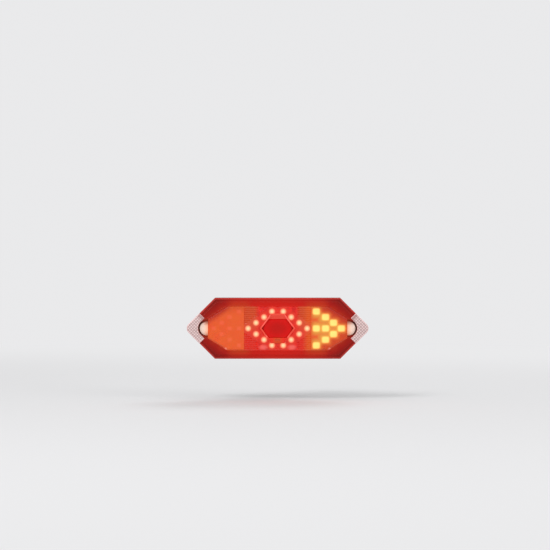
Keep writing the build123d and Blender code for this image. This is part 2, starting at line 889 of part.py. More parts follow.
def make_usb_socket():
    """Steel shell of the socket, open downwards, with the tongue inside it."""
    half_length = socket_length / 2
    half_height = socket_height / 2
    mouth = casing_wall - body_half_height + socket_wall_gap
    top = mouth + socket_depth
    shell = block(
        port_x - half_length, port_x + half_length, mouth, top,
        port_front - half_height, port_front + half_height)
    shell = fillet(shell.edges().filter_by(Axis.Y), half_height - socket_shell)
    inner_half_length = half_length - socket_shell
    inner_half_height = half_height - socket_shell
    room = block(
        port_x - inner_half_length, port_x + inner_half_length, mouth, top - socket_shell,
        port_front - inner_half_height, port_front + inner_half_height)
    tongue_half = socket_tongue_thickness / 2
    tongue_side = inner_half_length - socket_tongue_thickness
    tongue_top = top - socket_shell
    tongue = block(
        port_x - tongue_side, port_x + tongue_side, tongue_top - socket_tongue_length, tongue_top,
        port_front - tongue_half, port_front + tongue_half)
    return shell - fillet(room.edges().filter_by(Axis.Y), inner_half_height - socket_shell) + tongue


def make_board_link():
    start = charge_board_back + charge_board_thickness
    y = charge_board_top - link_from_top
    return block(
        port_x - link_length / 2, port_x + link_length / 2, y - link_width / 2, y + link_width / 2,
        start, board_back)


def make_usb_cover():
    """Door of the charging port: plate with grip grooves, plug that fills the hole, and hinge barrel."""
    low = -body_half_height
    top = low + cover_thickness
    half = cover_half_length
    plate_back = lamp_back + cover_plate_back_depth
    free_edge = lamp_back + cover_front_depth
    plate = block(port_x - half, port_x + half, low, top, plate_back, free_edge)
    plate -= block(
        port_x - nail_notch_half_length, port_x + nail_notch_half_length,
        low - overrun, low + nail_notch_depth, free_edge - nail_notch_width, free_edge + overrun)
    for index in range(cover_groove_count):
        front = free_edge - cover_groove_from_edge - index * cover_groove_pitch
        plate -= block(
            port_x - cover_groove_half_length, port_x + cover_groove_half_length,
            low - overrun, low + cover_groove_depth, front - cover_groove_width, front)
    arm = hinge_barrel_half_length
    plate += block(port_x - arm, port_x + arm, low, top, hinge_front, plate_back)
    plug_half = port_hole_length / 2 - insert_gap
    plug_depth = port_hole_width / 2 - insert_gap
    plate += block(
        port_x - plug_half, port_x + plug_half, top, top + insert_height,
        port_front - plug_depth, port_front + plug_depth)
    plate += cross_bar(hinge_barrel_radius, port_x - arm, port_x + arm, hinge_y, hinge_front)
    return plate - hinge_pin_bar(hinge_pin_radius + run_gap)


def make_mount_shoe():
    half_x = shoe_half_length
    half_y = shoe_half_height
    plate = block(-half_x, half_x, -half_y, half_y, shoe_back, lamp_back)
    plate = fillet(plate.edges().filter_by(Axis.Z), shoe_corner_radius)
    width = tongue_half_width
    web = make_face(Polyline(
        (shoe_web_half_height, shoe_back), (knuckle_radius, pivot_front),
        (-knuckle_radius, pivot_front), (-shoe_web_half_height, shoe_back), close=True))
    tongue = Pos(-width, 0, 0) * extrude(Plane.YZ * web, amount=2 * width)
    tongue += cross_bar(knuckle_radius, -width, width, 0, pivot_front)
    shoe = plate + tongue - cross_bar(pivot_radius + run_gap, -width, width, 0, pivot_front)
    for x, y in four_places(shoe_screw_x, shoe_screw_y):
        shoe -= bar(shoe_screw_radius + shoe_hole_gap, shoe_back, lamp_back, x, y)
    return shoe


def make_shoe_screws():
    start = shoe_back - shoe_head_height
    end = lamp_back + shoe_screw_grip - screw_end_space
    screw = back_screw(shoe_screw_radius, shoe_head_radius, shoe_head_height, start, end)
    places = four_places(shoe_screw_x, shoe_screw_y)
    return Compound([(Pos(x, y, 0) * screw).solid() for x, y in places])


def make_tilt_screw():
    inner = tongue_half_width + side_gap + ear_thickness
    end = inner + tilt_nut_height + tilt_thread_end
    screw = cross_bar(tilt_head_radius, -inner - tilt_head_height, -inner, 0, pivot_front)
    screw += cross_bar(pivot_radius, -inner, end, 0, pivot_front)
    socket = RegularPolygon(tilt_socket_flats / 2, 6, major_radius=False)
    start = Pos(-inner - tilt_head_height, 0, pivot_front) * Rot(0, 90, 0)
    return screw - start * extrude(socket, amount=tilt_socket_depth)


def make_tilt_nut():
    inner = tongue_half_width + side_gap + ear_thickness
    flats = RegularPolygon(tilt_nut_flats / 2, 6, major_radius=False)
    nut = Pos(inner, 0, pivot_front) * Rot(0, 90, 0) * extrude(flats, amount=tilt_nut_height)
    return nut - cross_bar(pivot_radius + run_gap, inner, inner + tilt_nut_height, 0, pivot_front)


def ring_sector(inner, outer, start, sweep_angle, half_height):
    """Part of a tube round the seatpost, its ends square to the tube."""
    outer_arc = CenterArc((0, 0), outer, start, sweep_angle)
    inner_arc = CenterArc((0, 0), inner, start, sweep_angle)
    ends = [Line(outer_arc @ 0, inner_arc @ 0), Line(outer_arc @ 1, inner_arc @ 1)]
    face = make_face([outer_arc, inner_arc] + ends)
    return Pos(0, 0, -half_height) * extrude(face, amount=2 * half_height)


def front_sector(inner, outer, half_angle, half_height):
    return ring_sector(inner, outer, -90 - half_angle, 2 * half_angle, half_height)


def upright(radius, x, y, low, high):
    """Round bar along Z, beside the seatpost."""
    return Pos(x, y, low) * Cylinder(radius, high - low, align=BOTTOM)


def make_post_pad():
    """Rubber liner with a lip over the saddle's top and bottom."""
    outer = saddle_inner_radius - fit_gap
    pad = front_sector(post_radius, outer, pad_half_angle, saddle_half_height)
    lip = front_sector(post_radius, post_radius + pad_flange_reach, pad_half_angle, pad_flange_height / 2)
    rise = saddle_half_height + pad_flange_height / 2
    return pad + Pos(0, 0, rise) * lip + Pos(0, 0, -rise) * lip


def tilt_ears():
    """The pair of ears that hold the tilting joint, in the light's own plane."""
    inner = tongue_half_width + side_gap
    ears = []
    for low in (-inner - ear_thickness, inner):
        high = low + ear_thickness
        root = block(low, high, -knuckle_radius, knuckle_radius, saddle_inner_radius, pivot_front)
        ears.append(root + cross_bar(knuckle_radius, low, high, 0, pivot_front))
    reach = inner + ear_thickness
    return ears[0] + ears[1] - cross_bar(pivot_radius + run_gap, -reach, reach, 0, pivot_front)


def anchor_ears():
    """Two ears that hold the band's pin, each run back into the saddle."""
    low = band_half_width + anchor_ear_gap
    angle = math.radians(-90 - saddle_half_angle)
    middle = (saddle_inner_radius + saddle_outer_radius) / 2
    root = (middle * math.cos(angle), middle * math.sin(angle))
    web_half = saddle_wall / 2
    web_length = math.dist((anchor_x, anchor_y), root) + web_half
    turn = math.degrees(math.atan2(root[1] - anchor_y, root[0] - anchor_x))
    plate = Circle(anchor_ear_radius) + Pos(web_length / 2, 0) * Rectangle(web_length, 2 * web_half)
    ear = Pos(anchor_x, anchor_y, 0) * Rot(0, 0, turn) * extrude(plate, amount=anchor_ear_thickness)
    ears = Pos(0, 0, low) * ear + Pos(0, 0, -low - anchor_ear_thickness) * ear
    reach = low + anchor_ear_thickness
    return ears - upright(anchor_pin_radius + run_gap, anchor_x, anchor_y, -reach, reach)


def make_bracket():
    """Saddle against the pad, ears for the tilting joint and the band, and the dial nut's lug."""
    saddle = front_sector(saddle_inner_radius, saddle_outer_radius, saddle_half_angle, saddle_half_height)
    room = Pos(0, 0, -saddle_half_height) * Cylinder(
        saddle_inner_radius, 2 * saddle_half_height, align=BOTTOM)
    straight = saddle.edges().filter_by(GeomType.LINE)
    saddle = fillet(straight - straight.filter_by(Axis.Z), saddle_corner_radius)
    ears = LAMP * tilt_ears()
    low = saddle_inner_radius * sine(saddle_half_angle)
    lug = block(low, stem_x + lug_beyond_stem, -lug_front, -lug_back, -lug_half_height, lug_half_height)
    lug = fillet(lug.edges().filter_by(Axis.Y).sort_by(Axis.X)[-2:], lug_corner_radius)
    stem_hole = LAMP * bar(stem_radius + lug_hole_gap, lug_back, lug_front, stem_x)
    return saddle + (ears - room) + anchor_ears() - room + (lug - room) - stem_hole


def make_band():
    """Strap round the back of the seatpost, from a pinned eye to a threaded stem."""
    outer = post_radius + band_thickness
    strap = ring_sector(post_radius, outer, 0, 180, band_half_width)
    half = band_half_width
    strap += block(-outer, -post_radius, anchor_y + anchor_strap_overlap, 0, -half, half)
    strap += upright(anchor_knuckle_radius, anchor_x, anchor_y, -half, half)
    strap -= upright(anchor_pin_radius + run_gap, anchor_x, anchor_y, -half, half)
    end_x = stem_x + stem_radius
    root = make_face(Polyline(
        (post_radius, 0), (outer, 0), (end_x, -stem_block_length / 2),
        (end_x, -stem_block_length), (post_radius, -stem_block_length), close=True))
    strap += Pos(0, 0, -half) * extrude(root, amount=2 * half)
    return strap + LAMP * bar(stem_radius, stem_block_length, dial_front + stem_proud, stem_x)


def make_band_pin():
    reach = band_half_width + anchor_ear_gap + anchor_ear_thickness + anchor_pin_proud
    return upright(anchor_pin_radius, anchor_x, anchor_y, -reach, reach)


def make_dial_washer():
    ring = Circle(washer_radius) - Circle(stem_radius + lug_hole_gap)
    return slab(Pos(stem_x, 0) * ring, lug_front, lug_front + washer_thickness)


def make_dial_nut():
    dial = bar(dial_radius, dial_back, dial_front)
    dial = chamfer(back_edges(dial) + front_edges(dial), dial_chamfer)
    step = 360 / dial_notch_count
    notch = bar(dial_notch_radius, dial_back, dial_front, dial_radius)
    dial -= [Rot(0, 0, index * step) * notch for index in range(dial_notch_count)]
    return Pos(stem_x, 0, 0) * (dial - bar(stem_radius + run_gap, dial_back, dial_front))


def save(name, shape):
    export_step(shape, f"parts/{name}.step")


def main():
    end_cap = make_end_cap()
    amber_lens = make_amber_lens()
    tip_lens = make_tip_lens()
    left_arrow = [(-x, y) for x, y in arrow_places()]
    lamp_pieces = {
        "rear_shell": make_rear_shell(),
        "shell_gasket": make_shell_gasket(),
        "front_bezel": make_front_bezel(),
        "housing_screws": make_housing_screws(),
        "left_end_cap": mirrored(end_cap),
        "right_end_cap": end_cap,
        "left_amber_lens": mirrored(amber_lens),
        "right_amber_lens": amber_lens,
        "left_tip_lens": mirrored(tip_lens),
        "right_tip_lens": tip_lens,
        "red_lens": make_red_lens(),
        "hex_frame": make_hex_frame(),
        "power_button": make_power_button(),
        "button_seal": make_button_seal(),
        "charge_light_pipe": make_charge_light_pipe(),
        "charge_diode": make_charge_diode(),
        "tact_switch": make_tact_switch(),
        "switch_plunger": make_switch_plunger(),
        "reflector_tray": make_reflector_tray(),
        "led_board": make_led_board(),
        "red_leds": led_group(ring_places()),
        "left_amber_leds": led_group(left_arrow),
        "right_amber_leds": led_group(arrow_places()),
        "tip_leds": led_group(tip_places()),
        "control_chips": make_control_chips(),
        "radio_module": make_radio_module(),
        "battery": make_battery(),
        "battery_pad": make_battery_pad(),
        "battery_plug": make_battery_plug(),
        "battery_leads": make_battery_leads(),
        "charge_board": make_charge_board(),
        "usb_socket": make_usb_socket(),
        "board_link": make_board_link(),
        "usb_cover": make_usb_cover(),
        "usb_cover_pin": hinge_pin_bar(hinge_pin_radius),
        "mount_shoe": make_mount_shoe(),
        "shoe_screws": make_shoe_screws(),
        "tilt_screw": make_tilt_screw(),
        "tilt_nut": make_tilt_nut(),
        "dial_washer": make_dial_washer(),
        "dial_nut": make_dial_nut(),
    }
    for name, shape in lamp_pieces.items():
        save(name, LAMP * shape)
    save("post_pad", make_post_pad())
    save("bracket", make_bracket())
    save("band", make_band())
    save("band_pin", make_band_pin())


main()
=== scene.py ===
# %% [markdown]
# # A bicycle turn signal light
# The light is long and six-sided: a red ring of diodes sits round its button, an amber arrow points to each
# side, and a milky tip and a silver corner cap close each end. Behind it a bracket with a band holds it on
# a round post. All these pieces come from a CAD model in metres, already in place. This lesson gives them
# their finishes, adds the details that are too fine for the CAD model, and lights them.

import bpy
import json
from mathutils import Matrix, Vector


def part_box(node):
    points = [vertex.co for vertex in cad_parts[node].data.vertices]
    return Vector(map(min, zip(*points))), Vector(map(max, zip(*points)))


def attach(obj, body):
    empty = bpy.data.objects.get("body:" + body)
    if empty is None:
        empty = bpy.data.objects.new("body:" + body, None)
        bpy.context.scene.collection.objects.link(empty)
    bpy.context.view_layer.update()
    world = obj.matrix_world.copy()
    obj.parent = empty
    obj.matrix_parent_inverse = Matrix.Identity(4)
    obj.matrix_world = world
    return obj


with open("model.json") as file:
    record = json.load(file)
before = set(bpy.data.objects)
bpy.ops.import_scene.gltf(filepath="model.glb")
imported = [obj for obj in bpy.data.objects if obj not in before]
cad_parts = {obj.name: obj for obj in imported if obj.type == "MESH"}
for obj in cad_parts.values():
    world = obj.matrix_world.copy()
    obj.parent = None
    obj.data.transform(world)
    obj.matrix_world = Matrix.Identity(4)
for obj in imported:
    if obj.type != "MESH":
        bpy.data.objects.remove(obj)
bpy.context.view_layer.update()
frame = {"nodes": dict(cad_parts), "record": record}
nodes = frame["nodes"]

# %% [markdown]
# ## Camera
# A camera could be framed by eye, but a known object gives it exactly. The light measures 119 mm, and in
# the picture that this view follows it is 181.7 pixels wide. The number of metres to a pixel follows from
# that, and so do the camera's distance and the place where it stands: level with the middle of the picture,
# looking straight along +Y. A long lens keeps the two tips square on, as in the picture.

# %% Set up the camera
import math
import bpy
from mathutils import Vector

picture_pixels = 550
light_pixels_wide = 181.7
light_centre_pixel = (277.6, 328.4)
focal_length_mm = 144.0
sensor_width_mm = 36.0

bezel_low, bezel_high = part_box("front_bezel")
metres_per_pixel = (bezel_high.x - bezel_low.x) / light_pixels_wide
picture_width = picture_pixels * metres_per_pixel
view_distance = picture_width * focal_length_mm / sensor_width_mm

camera_data = bpy.data.cameras.new("camera")
camera_data.lens = focal_length_mm
camera_data.sensor_width = sensor_width_mm
camera_data.clip_start = 0.05
camera = bpy.data.objects.new("camera", camera_data)
bpy.context.scene.collection.objects.link(camera)
camera.location = (
    (picture_pixels / 2 - light_centre_pixel[0]) * metres_per_pixel,
    bezel_low.y - view_distance,
    (light_centre_pixel[1] - picture_pixels / 2) * metres_per_pixel)
camera.rotation_euler = (math.radians(90), 0, 0)
bpy.context.scene.camera = camera
print("camera at", [round(value, 4) for value in camera.location])

# %% [markdown]
# ## Helpers for shader nodes
# Materials are made from nodes in code. Small helpers keep that readable: they add a node and set its
# inputs, add a sum, a smooth step, a mix of two colours or one axis of a place, and start or use a node
# group. An input can take a number, a colour or the output of another node, so that a recipe reads from top
# to bottom.

# %% Write the node helpers
def add(tree, kind, inputs=None, **settings):
    made = tree.nodes.new("ShaderNode" + kind)
    for name, value in settings.items():
        setattr(made, name, value)
    for name, value in (inputs or {}).items():
        feed(tree, value, made.inputs[name])
    return made


def feed(tree, value, socket):
    """Join an output to a socket, or write a number or a colour on it."""
    if isinstance(value, bpy.types.NodeSocket):
        tree.links.new(value, socket)
    elif hasattr(value, "__len__") and len(value) == 3 and socket.type == "RGBA":
        socket.default_value = (*value, 1.0)
    else:
        socket.default_value = value


def maths(tree, operation, first, second=0.0, clamp=False):
    made = add(tree, "Math", {0: first, 1: second}, operation=operation, use_clamp=clamp)
    return made.outputs[0]


def product(tree, first, second):
    return maths(tree, "MULTIPLY", first, second)


def vector_maths(tree, operation, first, second=(0.0, 0.0, 0.0)):
    return add(tree, "VectorMath", {0: first, 1: second}, operation=operation).outputs["Vector"]


def length_of(tree, vector):
    return add(tree, "VectorMath", {0: vector}, operation="LENGTH").outputs["Value"]


def object_place(tree):
    """Place of a point in the object's own frame, in metres."""
    return add(tree, "TexCoord").outputs["Object"]


def axis_of(tree, kind, axis):
    """One axis of the object's own place, where kind is Object, or of its own normal, where it is Normal."""
    return add(tree, "SeparateXYZ", {"Vector": add(tree, "TexCoord").outputs[kind]}).outputs[axis]


def ramp(tree, value, low, high, from_value=0.0, to_value=1.0):
    """Smooth step from one value to another as the input goes from low to high."""
    inputs = {"Value": value, "From Min": low, "From Max": high, "To Min": from_value, "To Max": to_value}
    return add(tree, "MapRange", inputs, interpolation_type="SMOOTHSTEP").outputs["Result"]


def blend_colours(tree, share, first, second):
    made = add(tree, "Mix", data_type="RGBA")
    colour_inputs = [socket for socket in made.inputs if socket.type == "RGBA"]
    feed(tree, share, made.inputs["Factor"])
    feed(tree, first, colour_inputs[0])
    feed(tree, second, colour_inputs[1])
    return [socket for socket in made.outputs if socket.type == "RGBA"][0]


def start_group(name, inputs, outputs):
    """New shader node group; inputs are (name, socket kind, default) and outputs are (name, socket kind)."""
    tree = bpy.data.node_groups.new(name, "ShaderNodeTree")
    for label, kind, default in inputs:
        tree.interface.new_socket(label, in_out="INPUT", socket_type=kind).default_value = default
    for label, kind in outputs:
        tree.interface.new_socket(label, in_out="OUTPUT", socket_type=kind)
    return tree, tree.nodes.new("NodeGroupInput"), tree.nodes.new("NodeGroupOutput")


def use_group(tree, group, inputs=None):
    made = tree.nodes.new("ShaderNodeGroup")
    made.node_tree = group
    for name, value in (inputs or {}).items():
        feed(tree, value, made.inputs[name])
    return made


FLOAT = "NodeSocketFloat"
VECTOR = "NodeSocketVector"
print("node helpers ready")

# %% [markdown]
# ## Groups for the effects that finishes share
# Moulded plastic has a fine grain and soft patches where it cooled unevenly. A noise at two scales gives
# both: the small one goes to a bump and the large one to roughness. An image could do the same, but noise
# needs no seams and no file.

# %% Make the grain group
grain_group, grain_in, grain_out = start_group(
    "mould_grain",
    [("Grain per metre", FLOAT, 4000.0), ("Patch per metre", FLOAT, 60.0)],
    [("Height", FLOAT), ("Patch", FLOAT)])
place = object_place(grain_group)
fine = add(grain_group, "TexNoise", {
    "Vector": place, "Scale": grain_in.outputs["Grain per metre"], "Detail": 2.0, "Roughness": 0.6})
broad = add(grain_group, "TexNoise", {
    "Vector": place, "Scale": grain_in.outputs["Patch per metre"], "Detail": 4.0, "Roughness": 0.55})
feed(grain_group, fine.outputs["Fac"], grain_out.inputs["Height"])
feed(grain_group, ramp(grain_group, broad.outputs["Fac"], 0.32, 0.68), grain_out.inputs["Patch"])
print("group", grain_group.name)

# %% [markdown]
# Every real edge is slightly round, and it catches light and wears first. Rounding each edge as geometry
# would cost many faces on the fixed CAD meshes, so the Bevel node bends the normal near an edge instead.
# Where the bent normal leaves the true one, there is an edge, and that difference is the mask for wear,
# and in some finishes for a painted highlight along the edge.

# %% Make the edge group
edge_group, edge_in, edge_out = start_group(
    "soft_edge",
    [("Radius", FLOAT, 0.0003)],
    [("Normal", VECTOR), ("Edge", FLOAT)])
bevel = add(edge_group, "Bevel", {"Radius": edge_in.outputs["Radius"]}, samples=6)
flat_normal = add(edge_group, "NewGeometry").outputs["Normal"]
agreement = add(
    edge_group, "VectorMath", {0: bevel.outputs["Normal"], 1: flat_normal}, operation="DOT_PRODUCT")
feed(edge_group, bevel.outputs["Normal"], edge_out.inputs["Normal"])
feed(edge_group, ramp(edge_group, agreement.outputs["Value"], 0.995, 0.86), edge_out.inputs["Edge"])
print("group", edge_group.name)

# %% [markdown]
# A light that is used outdoors gathers a little dust on what faces up. The object's own normal tells which
# faces those are, and it stays right when the light is tilted. Noise breaks the layer up.

# %% Make the dust group
dust_group, dust_in, dust_out = start_group(
    "settled_dust",
    [("Amount", FLOAT, 0.2)],
    [("Dust", FLOAT)])
facing_up = ramp(dust_group, axis_of(dust_group, "Normal", "Z"), 0.35, 0.95)
specks = add(dust_group, "TexNoise", {
    "Vector": object_place(dust_group), "Scale": 2200.0, "Detail": 4.0, "Roughness": 0.6})
broken = ramp(dust_group, specks.outputs["Fac"], 0.30, 0.75)
layer = product(dust_group, facing_up, broken)
feed(dust_group, product(dust_group, layer, dust_in.outputs["Amount"]), dust_out.inputs["Dust"])
print("group", dust_group.name)

# %% [markdown]
# Lit diodes put soft spots of light on the frosted inside of the lens, wider than the diodes themselves.
# Tracing that scattered light takes very many samples, so the lens material makes the spots itself, from
# the distance to each diode. The centres are read from the CAD meshes, where each diode is an island of
# joined faces. Left and right, top and bottom are alike, so the place is folded into one quarter first and
# a group needs only the diodes there.

# %% Find the diodes
def island_centres(node):
    """Middle of each separate solid in a node, in metres."""
    mesh = nodes[node].data
    parent = {}
    spots = [tuple(round(value, 6) for value in vertex.co) for vertex in mesh.vertices]

    def root(spot):
        while parent.setdefault(spot, spot) != spot:
            spot = parent[spot]
        return spot

    for edge in mesh.edges:
        first, second = (root(spots[index]) for index in edge.vertices)
        if first != second:
            parent[first] = second
    islands = {}
    for spot in spots:
        islands.setdefault(root(spot), []).append(Vector(spot))
    centres = []
    for members in islands.values():
        low = Vector([min(member[axis] for member in members) for axis in range(3)])
        high = Vector([max(member[axis] for member in members) for axis in range(3)])
        centres.append((low + high) / 2)
    return sorted(centres, key=lambda centre: (round(centre.x, 4), round(centre.z, 4)))


ring_centres = island_centres("red_leds")
arrow_centres = island_centres("right_amber_leds")
tip_centres = island_centres("tip_leds")
print(len(ring_centres), "ring,", len(arrow_centres), "arrow and", len(tip_centres), "tip diodes")

# %% Make the glow groups
half_a_diode = 0.0008


def folded_quarter(centres):
    return [centre for centre in centres if centre.x > -half_a_diode and centre.z > -half_a_diode]


def make_glow_group(name, centres, squared=False, lowness=1.0):
    """Group whose mask is 1 within Core of a diode's axis and fades to 0 at Reach.

    A squared spot measures its distance as the fourth root of x^4 + z^4, which has rounded corners. The spots
    are as many times wider than high as lowness says.
    """
    tree, group_in, group_out = start_group(
        name, [("Core", FLOAT, 0.0015), ("Reach", FLOAT, 0.0030)], [("Glow", FLOAT)])
    folded = vector_maths(tree, "ABSOLUTE", object_place(tree))
    flat = vector_maths(tree, "MULTIPLY", folded, (1.0, 0.0, lowness))
    nearest = None
    for centre in folded_quarter(centres):
        apart = vector_maths(tree, "SUBTRACT", flat, (centre.x, 0.0, lowness * centre.z))
        if squared:
            apart = vector_maths(tree, "MULTIPLY", apart, apart)
        away = length_of(tree, apart)
        nearest = away if nearest is None else maths(tree, "MINIMUM", nearest, away)
    if squared:
        nearest = maths(tree, "SQRT", nearest)
    glow = ramp(tree, nearest, group_in.outputs["Reach"], group_in.outputs["Core"])
    feed(tree, glow, group_out.inputs["Glow"])
    return tree


def glow_of(tree, group, core, reach):
    return use_group(tree, group, {"Core": core, "Reach": reach}).outputs["Glow"]


ring_glow = make_glow_group("ring_glow", ring_centres)
arrow_glow = make_glow_group("arrow_glow", arrow_centres, squared=True, lowness=1.14)
tip_glow = make_glow_group("tip_glow", tip_centres)
used = [len(folded_quarter(centres)) for centres in (ring_centres, arrow_centres, tip_centres)]
print("glow groups use", used, "diodes")

# %% [markdown]
# The whole casing has a painted glow round its lit middle. One group measures how far a point is from the
# middle, on an ellipse that is stretched along the light, and gives a mask that any of the front pieces can
# use.

# %% Make the middle group
middle_group, middle_in, middle_out = start_group(
    "middle_glow",
    [("Inner", FLOAT, 0.012), ("Outer", FLOAT, 0.027), ("Stretch", FLOAT, 2.6)],
    [("Glow", FLOAT)])
along = maths(middle_group, "DIVIDE", axis_of(middle_group, "Object", "X"), middle_in.outputs["Stretch"])
ellipse = add(middle_group, "CombineXYZ", {"X": along, "Z": axis_of(middle_group, "Object", "Z")})
reach = length_of(middle_group, ellipse.outputs["Vector"])
glow = ramp(middle_group, reach, middle_in.outputs["Outer"], middle_in.outputs["Inner"])
feed(middle_group, glow, middle_out.inputs["Glow"])
print("group", middle_group.name)

# %% [markdown]
# ## Materials
# Each finish is a function that starts a Principled material, wires the shared groups into it with its own
# values, and puts it on the CAD pieces that have that finish.

# %% Write the material helpers
def start_material(name):
    material = bpy.data.materials.new(name)
    material.use_nodes = True
    tree = material.node_tree
    return material, tree, tree.nodes["Principled BSDF"]


def start_finish(name, edge_radius, grain_per_metre=4000.0, patch_per_metre=60.0):
    """Material that starts with the grain group and the edge group."""
    material, tree, surface = start_material(name)
    grain = use_group(
        tree, grain_group, {"Grain per metre": grain_per_metre, "Patch per metre": patch_per_metre})
    edge = use_group(tree, edge_group, {"Radius": edge_radius})
    return material, tree, surface, grain, edge


def set_values(surface, values):
    """Write plain numbers or colours on a surface's inputs."""
    for name, value in values.items():
        surface.inputs[name].default_value = value


def paint(material, *node_names):
    """Put one material on all the slots of the named CAD pieces."""
    for name in node_names:
        mesh = nodes[name].data
        mesh.materials.clear()
        mesh.materials.append(material)


def bumped(tree, height, strength, depth, normal=None):
    """Normal of a bump whose height is in metres."""
    inputs = {"Height": height, "Strength": strength, "Distance": depth}
    if normal is not None:
        inputs["Normal"] = normal
    return add(tree, "Bump", inputs).outputs["Normal"]


def grain_bump(tree, surface, grain, edge, strength, depth=0.00001):
    """Fine grain on a normal that is rounded at the edges."""
    normal = bumped(tree, grain.outputs["Height"], strength, depth, edge.outputs["Normal"])
    feed(tree, normal, surface.inputs["Normal"])


def roughen(tree, surface, grain, smooth, rough):
    """Roughness that goes from smooth to rough, patch by patch."""
    feed(tree, ramp(tree, grain.outputs["Patch"], 0.0, 1.0, smooth, rough), surface.inputs["Roughness"])


print("material helpers ready")

# %% Write the recipes for plastic and metal
def moulded(name, colour, worn_colour, roughness, grain_depth=0.00002, grain_per_metre=4000.0,
            coat=0.0, dust_amount=0.25, edge_radius=0.0003):
    """Moulded plastic or rubber: grain, soft patches, worn edges and a trace of dust."""
    material, tree, surface, grain, edge = start_finish(name, edge_radius, grain_per_metre)
    dust = use_group(tree, dust_group, {"Amount": dust_amount}).outputs["Dust"]
    worn = product(tree, edge.outputs["Edge"], ramp(tree, grain.outputs["Patch"], 0.2, 0.9))
    base = blend_colours(tree, worn, colour, worn_colour)
    feed(tree, blend_colours(tree, dust, base, (0.36, 0.33, 0.30)), surface.inputs["Base Color"])
    rough = ramp(tree, grain.outputs["Patch"], 0.0, 1.0, roughness - 0.06, roughness + 0.06)
    rough = maths(tree, "ADD", rough, product(tree, dust, 0.5), clamp=True)
    feed(tree, rough, surface.inputs["Roughness"])
    grain_bump(tree, surface, grain, edge, 0.6, grain_depth)
    set_values(surface, {"Coat Weight": coat, "Coat Roughness": 0.08})
    return material


brush_axes = (0.06, 1.0, 1.0)


def metal(name, colour, roughness, brush_per_metre=2500.0, brush_depth=0.000008):
    """Metal with fine brush marks and brighter edges."""
    material, tree, surface, grain, edge = start_finish(name, edge_radius=0.0002, patch_per_metre=180.0)
    stretched = vector_maths(tree, "MULTIPLY", object_place(tree), brush_axes)
    marks = add(tree, "TexNoise", {
        "Vector": stretched, "Scale": brush_per_metre, "Detail": 3.0, "Roughness": 0.6})
    bright = tuple(min(1.0, 1.25 * value) for value in colour)
    feed(tree, blend_colours(tree, edge.outputs["Edge"], colour, bright), surface.inputs["Base Color"])
    roughen(tree, surface, grain, roughness - 0.07, roughness + 0.09)
    feed(tree, bumped(tree, marks.outputs["Fac"], 0.5, brush_depth, edge.outputs["Normal"]),
         surface.inputs["Normal"])
    set_values(surface, {"Metallic": 1.0})
    return material


print("recipes for plastic and metal ready")

# %% [markdown]
# ### Casing
# The back half is black with a fine texture. The front half is a smoked red, polished, with a painted red
# glow that is strongest round the middle and fades out towards the tips; its colour is painted a lighter red
# round the middle too.

# %% Finish the rear shell
shell_plastic = moulded(
    "shell_plastic", (0.016, 0.011, 0.012), (0.045, 0.036, 0.036), 0.44, grain_depth=0.00003,
    dust_amount=0.10, edge_radius=0.00025)
paint(shell_plastic, "rear_shell")
print("rear shell finished")

# %% Write the places and masks for the bezel
def across_of(tree):
    """Distance of a point on the light from the middle plane."""
    return maths(tree, "ABSOLUTE", axis_of(tree, "Object", "X"))


def height_of(tree):
    return axis_of(tree, "Object", "Z")


chamfer_behind_front = 0.0016
chamfer_blend = 0.0002


def outer_chamfer(tree):
    """Mask of the sloping edge round the front of the casing."""
    facing = axis_of(tree, "Normal", "Y")
    depth = axis_of(tree, "Object", "Y")
    slanting = product(tree, ramp(tree, facing, -0.95, -0.85), ramp(tree, facing, -0.3, -0.5))
    start = bezel_low.y + chamfer_behind_front
    return product(tree, slanting, ramp(tree, depth, start - chamfer_blend, start))


groove_radius = 0.0059
groove_blend = 0.0003
groove_full_height = 0.0036
groove_end_height = 0.0052


def groove_ends(tree):
    """Mask of the dark groove round a tip: full at its middle, weaker at its two ends."""
    from_middle = maths(tree, "ABSOLUTE", height_of(tree))
    return ramp(tree, from_middle, groove_end_height, groove_full_height, 0.30, 1.0)


print("bezel front at", round(bezel_low.y, 4), "m")

# %% Finish the bezel
bezel_fade_start_x = 0.026
bezel_fade_end_x = 0.048
# Emission Strength turns on the painted glow of the red pieces.
red_polish_and_painted_glow = {
    "Specular IOR Level": 0.13, "Coat Weight": 0.05, "Coat Roughness": 0.06, "Emission Strength": 1.0}


